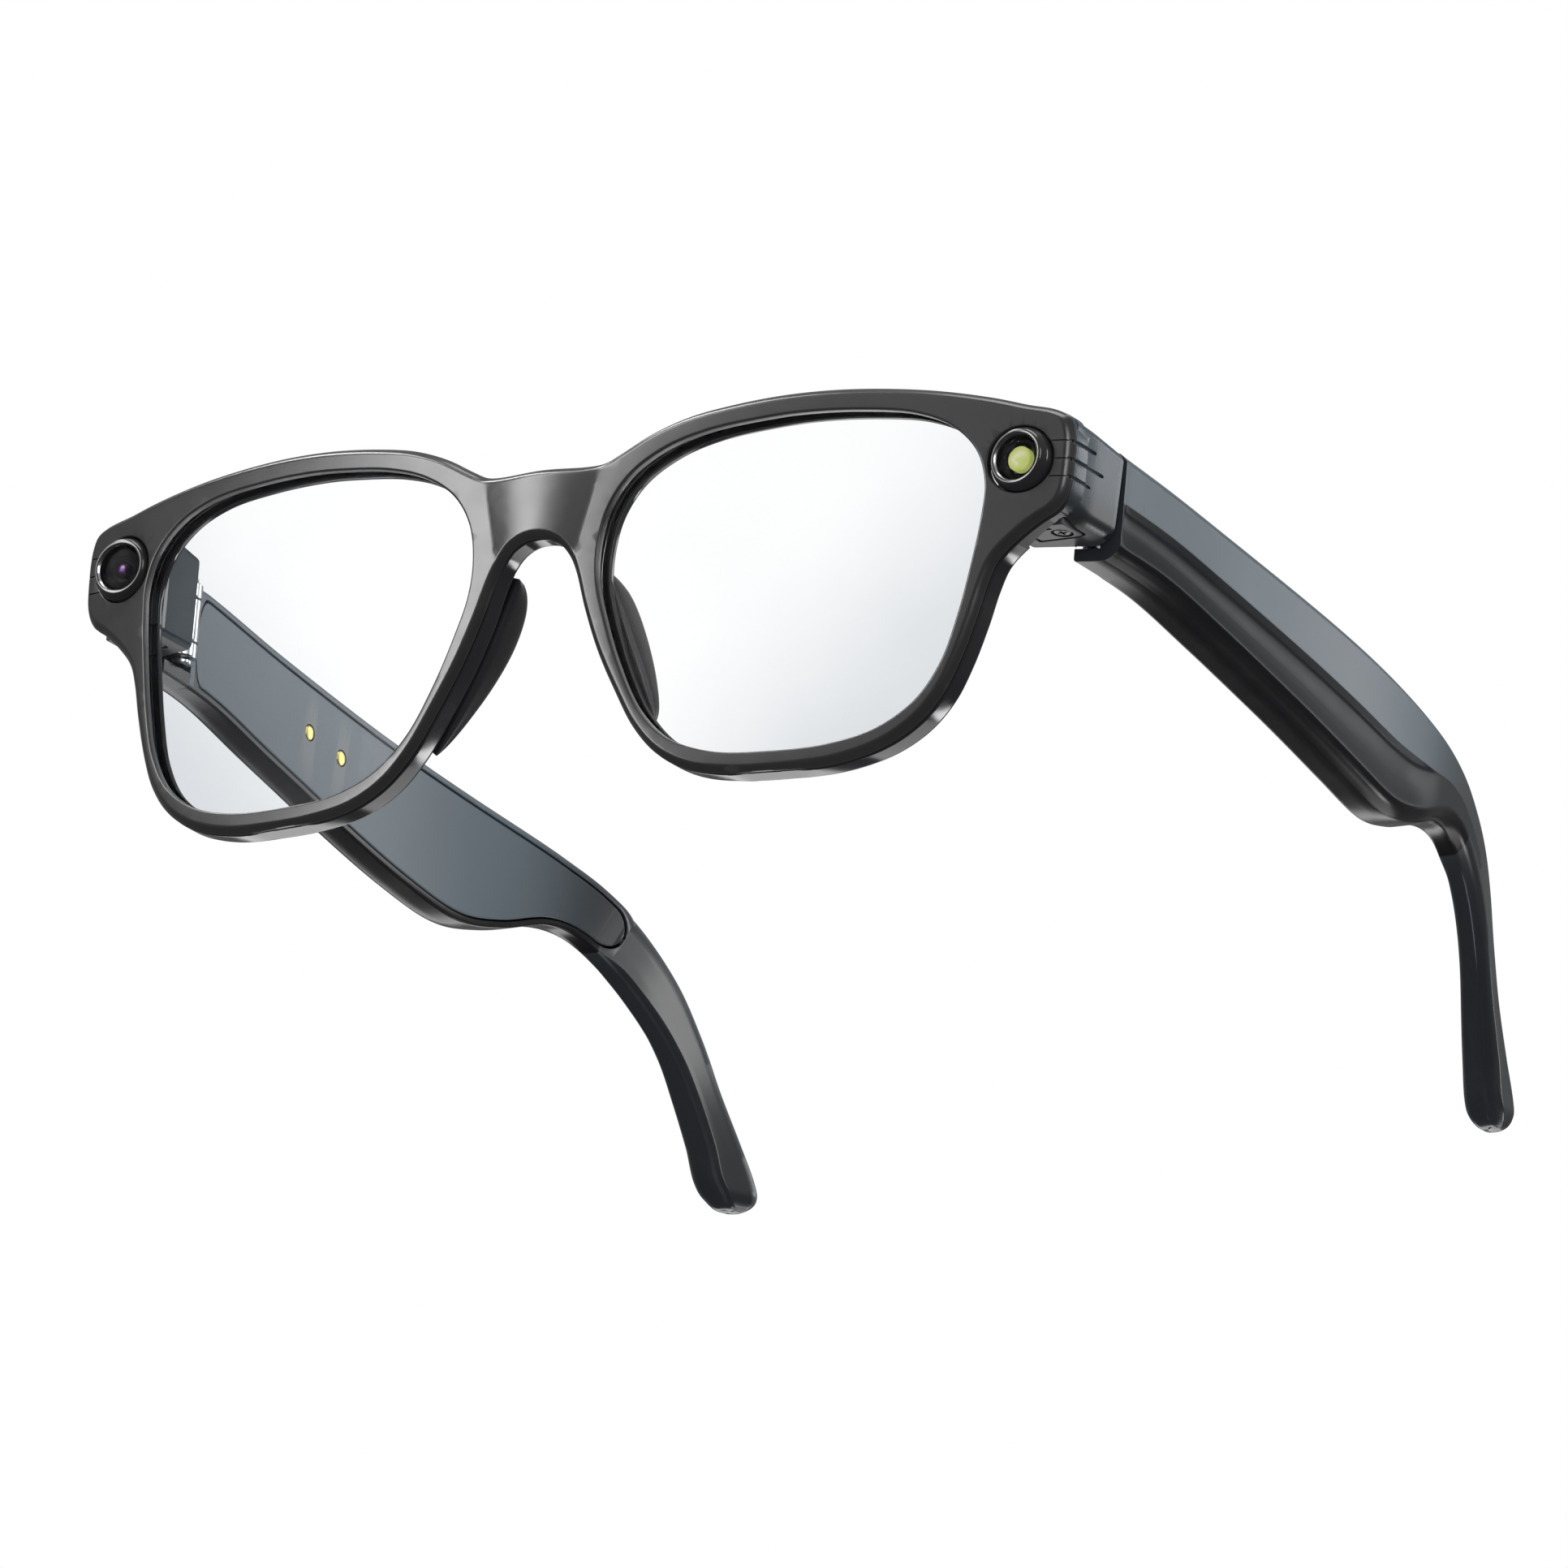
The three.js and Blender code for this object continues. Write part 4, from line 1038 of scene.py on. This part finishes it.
def pill(radius, half, z, chamfer):
    """An upright pill on the button's place."""
    straight = half - radius
    outline = arc(0, straight, radius, 0, 180, 25) + arc(0, -straight, radius, 180, 360, 25)
    return extruded(np.array([(BUTTON_X + x, BUTTON_Y + y) for x, y in outline]), z, chamfer)


def cover_section(height, thickness, at):
    half = (height / 2 - WALL - 0.26) * rounded_end(at, 0.7, COVER_END)
    inner = -thickness / 2 + 0.04
    outer = inner + 0.95
    low, high = height / 2 - half, height / 2 + half
    corners = [(inner, low), (outer, low), (outer, high), (inner, high)]
    return soften(corners, [0.2, 0.05, 0.05, 0.2], True, 4)


def make_cover(mirror, has_contacts):
    front, rear = np.linspace(0.7, 0.83, 9), np.linspace(8.32, COVER_END, 22)
    places = [*front, *temple_steps(0.84, 8.3), *rear]
    cover = mirror(Shape().loft([temple_ring(at, cover_section) for at in places])).object("cover")
    if has_contacts:
        for y in CONTACTS:
            cut(cover, mirror(contact(y, [(1.1, 60), (1.1, 72)])))
    return cover


def shell_finish(centre):
    """0 slate; 1 glossy black below the ridge; 2 dark satin painted in the channel outside as its shade."""
    y, z = centre.y, centre.z
    at = temple_at(y)
    low, high = spline(TEMPLE_BOTTOM, at / LAST)[0], spline(TEMPLE_TOP, at / LAST)[0]
    height = high[1] - low[1]
    if z - low[1] < min(2.0, height * 0.34) - 0.12:
        return 1 if y < 112 else 0
    is_outside = abs(centre.x) > temple_middle(y) + 0.8
    return 2 if is_outside and z - low[1] < height * 0.54 - 0.02 and y < 118 else 0


for side, mirror in (("left", keep), ("right", Shape.mirrored)):
    body = f"temple_{side}"
    is_right = side == "right"
    show(make_shell(mirror, is_right), f"temple_shell_{side}", body,
         [SLATE, UNDER, SHADED_CHANNEL], 26, shell_finish)
    show(make_cover(mirror, is_right), f"inner_cover_{side}", body, [SLATE], 30)
    show(make_temple_hinge(mirror), f"temple_hinge_{side}", body, [STEEL])

button = pill(1.05, BUTTON_HALF, (BUTTON_BOTTOM, BUTTON_TOP), 0.25).mirrored().object("button")
show(button, "capture_button_right", "capture_button", [RING])
for number, y in enumerate(CONTACTS, 1):
    disc = contact(y, [(0.0, 67.35), (0.7, 67.36), (0.88, 67.4), (0.95, 67.5), (0.95, 68.35), (0.0, 68.35)])
    show(disc.mirrored().object("disc"), f"charging_contact_{number}_right", "temple_right", [GOLD])

# ---- finishes of the pieces that stay as they are in the model --------
INSIDE = {"bridge_flex_cable": FLEX, "light_board_left": CIRCUIT, "camera_sensor_right": CIRCUIT,
          "main_board": CIRCUIT, "battery": CELL, "speaker": MASK, "microphone": GOLD,
          "button_switch": STEEL}
for name, node in frame["nodes"].items():
    for start, material in INSIDE.items():
        if name.startswith(start):
            node.data.materials.clear()
            node.data.materials.append(material)


# ---- stage, lights and camera --------
def make_floor():
    mesh = bpy.data.meshes.new("floor")
    half, height = 9, -1.7
    corners = [(-half, -half, height), (half, -half, height), (half, half, height), (-half, half, height)]
    mesh.from_pydata(corners, [], [(0, 1, 2, 3)])
    floor = bpy.data.objects.new("floor", mesh)
    bpy.context.scene.collection.objects.link(floor)
    n = Nodes("floor", Roughness=0.8, Emission_Color=(1, 1, 1, 1), Emission_Strength=0.66)
    n.colour(n.blend(n.remap(n.noise(3, 3), 0.3, 0.7, 0, 1), (0.84, 0.84, 0.84), (0.88, 0.88, 0.88)))
    mesh.materials.append(n.material)
    floor.visible_glossy = False


def make_world():
    """White behind the object, and a soft grey room for its reflections."""
    world = bpy.data.worlds.new("studio")
    bpy.context.scene.world = world
    world.use_nodes = True
    nodes, links = world.node_tree.nodes, world.node_tree.links
    background = nodes["Background"]
    path = nodes.new("ShaderNodeLightPath")
    place = nodes.new("ShaderNodeTexCoord")
    split = nodes.new("ShaderNodeSeparateXYZ")
    ramp = nodes.new("ShaderNodeMapRange")
    ramp.interpolation_type = "SMOOTHSTEP"
    for key, value in (("From Min", -0.6), ("From Max", 0.8), ("To Min", 0.03), ("To Max", 0.34)):
        ramp.inputs[key].default_value = value
    mix = nodes.new("ShaderNodeMix")
    mix.data_type = "RGBA"
    mix.inputs[7].default_value = (1, 1, 1, 1)
    links.new(place.outputs["Generated"], split.inputs[0])
    links.new(split.outputs["Z"], ramp.inputs["Value"])
    links.new(ramp.outputs["Result"], mix.inputs[6])
    seen = nodes.new("ShaderNodeMath")
    seen.operation = "MAXIMUM"
    links.new(path.outputs["Is Camera Ray"], seen.inputs[0])
    links.new(path.outputs["Is Transmission Ray"], seen.inputs[1])
    links.new(seen.outputs[0], mix.inputs["Factor"])
    links.new(mix.outputs[2], background.inputs["Color"])


def softbox(name, azimuth, elevation, width, height, radiance, distance=1.4):
    """A softbox seen from the glasses at an azimuth (0 is in front, 90 the wearer's left) and elevation."""
    a, e = math.radians(azimuth), math.radians(elevation)
    out = Vector((math.sin(a) * math.cos(e), -math.cos(a) * math.cos(e), math.sin(e)))
    light = bpy.data.lights.new(name, "AREA")
    light.shape = "RECTANGLE"
    light.size, light.size_y = width, height
    light.energy = radiance * math.pi * width * height
    obj = bpy.data.objects.new(name, light)
    bpy.context.scene.collection.objects.link(obj)
    obj.location = out * distance
    obj.rotation_euler = out.to_track_quat("Z", "Y").to_euler()
    obj.visible_camera = False


def make_camera():
    """A long lens below and to the wearer's left of the front, looking up at it."""
    azimuth, elevation, roll = math.radians(34.11), math.radians(-17.81), math.radians(5.035)
    distance, right_shift, up_shift = 3673.5, 30.717, -25.223
    flat = math.cos(elevation)
    back = Vector((math.sin(azimuth) * flat, -math.cos(azimuth) * flat, math.sin(elevation)))
    level = Vector((math.cos(azimuth), math.sin(azimuth), 0))
    upright = back.cross(level)
    right = level * math.cos(roll) + upright * math.sin(roll)
    up = upright * math.cos(roll) - level * math.sin(roll)
    place = back * distance + right * right_shift + up * up_shift
    data = bpy.data.cameras.new("camera")
    data.lens = 692.04
    data.sensor_width = 36
    data.clip_end = 100
    camera = bpy.data.objects.new("camera", data)
    bpy.context.scene.collection.objects.link(camera)
    turn = Matrix((right, up, back)).transposed()
    camera.matrix_world = Matrix.Translation(WORN @ place) @ (TILT.to_3x3() @ turn).to_4x4()
    bpy.context.scene.camera = camera


make_floor()
make_world()
make_camera()
for light in (
        ("key", -36, 19, 0.26, 0.8, 15.5),
        ("front", -8, 24, 0.5, 0.7, 0.8),
        ("rim", -66, 54, 0.9, 0.24, 14.0),
        ("crown", 10, 80, 0.8, 0.8, 5.0),
        ("corner", 56, 18, 0.4, 0.6, 7.0),
        ("side", 147, 20, 0.3, 0.5, 4.2),
        ("tail", 106, 22, 0.2, 0.6, 9.0),
        ("low", 212, -16, 0.75, 0.36, 2.2),
        ("lower", 174, -32, 0.9, 0.6, 2.0),
        ("patch", 151, -22, 0.14, 0.22, 12.0)):
    softbox(*light)

bpy.context.scene.view_settings.view_transform = "Standard"
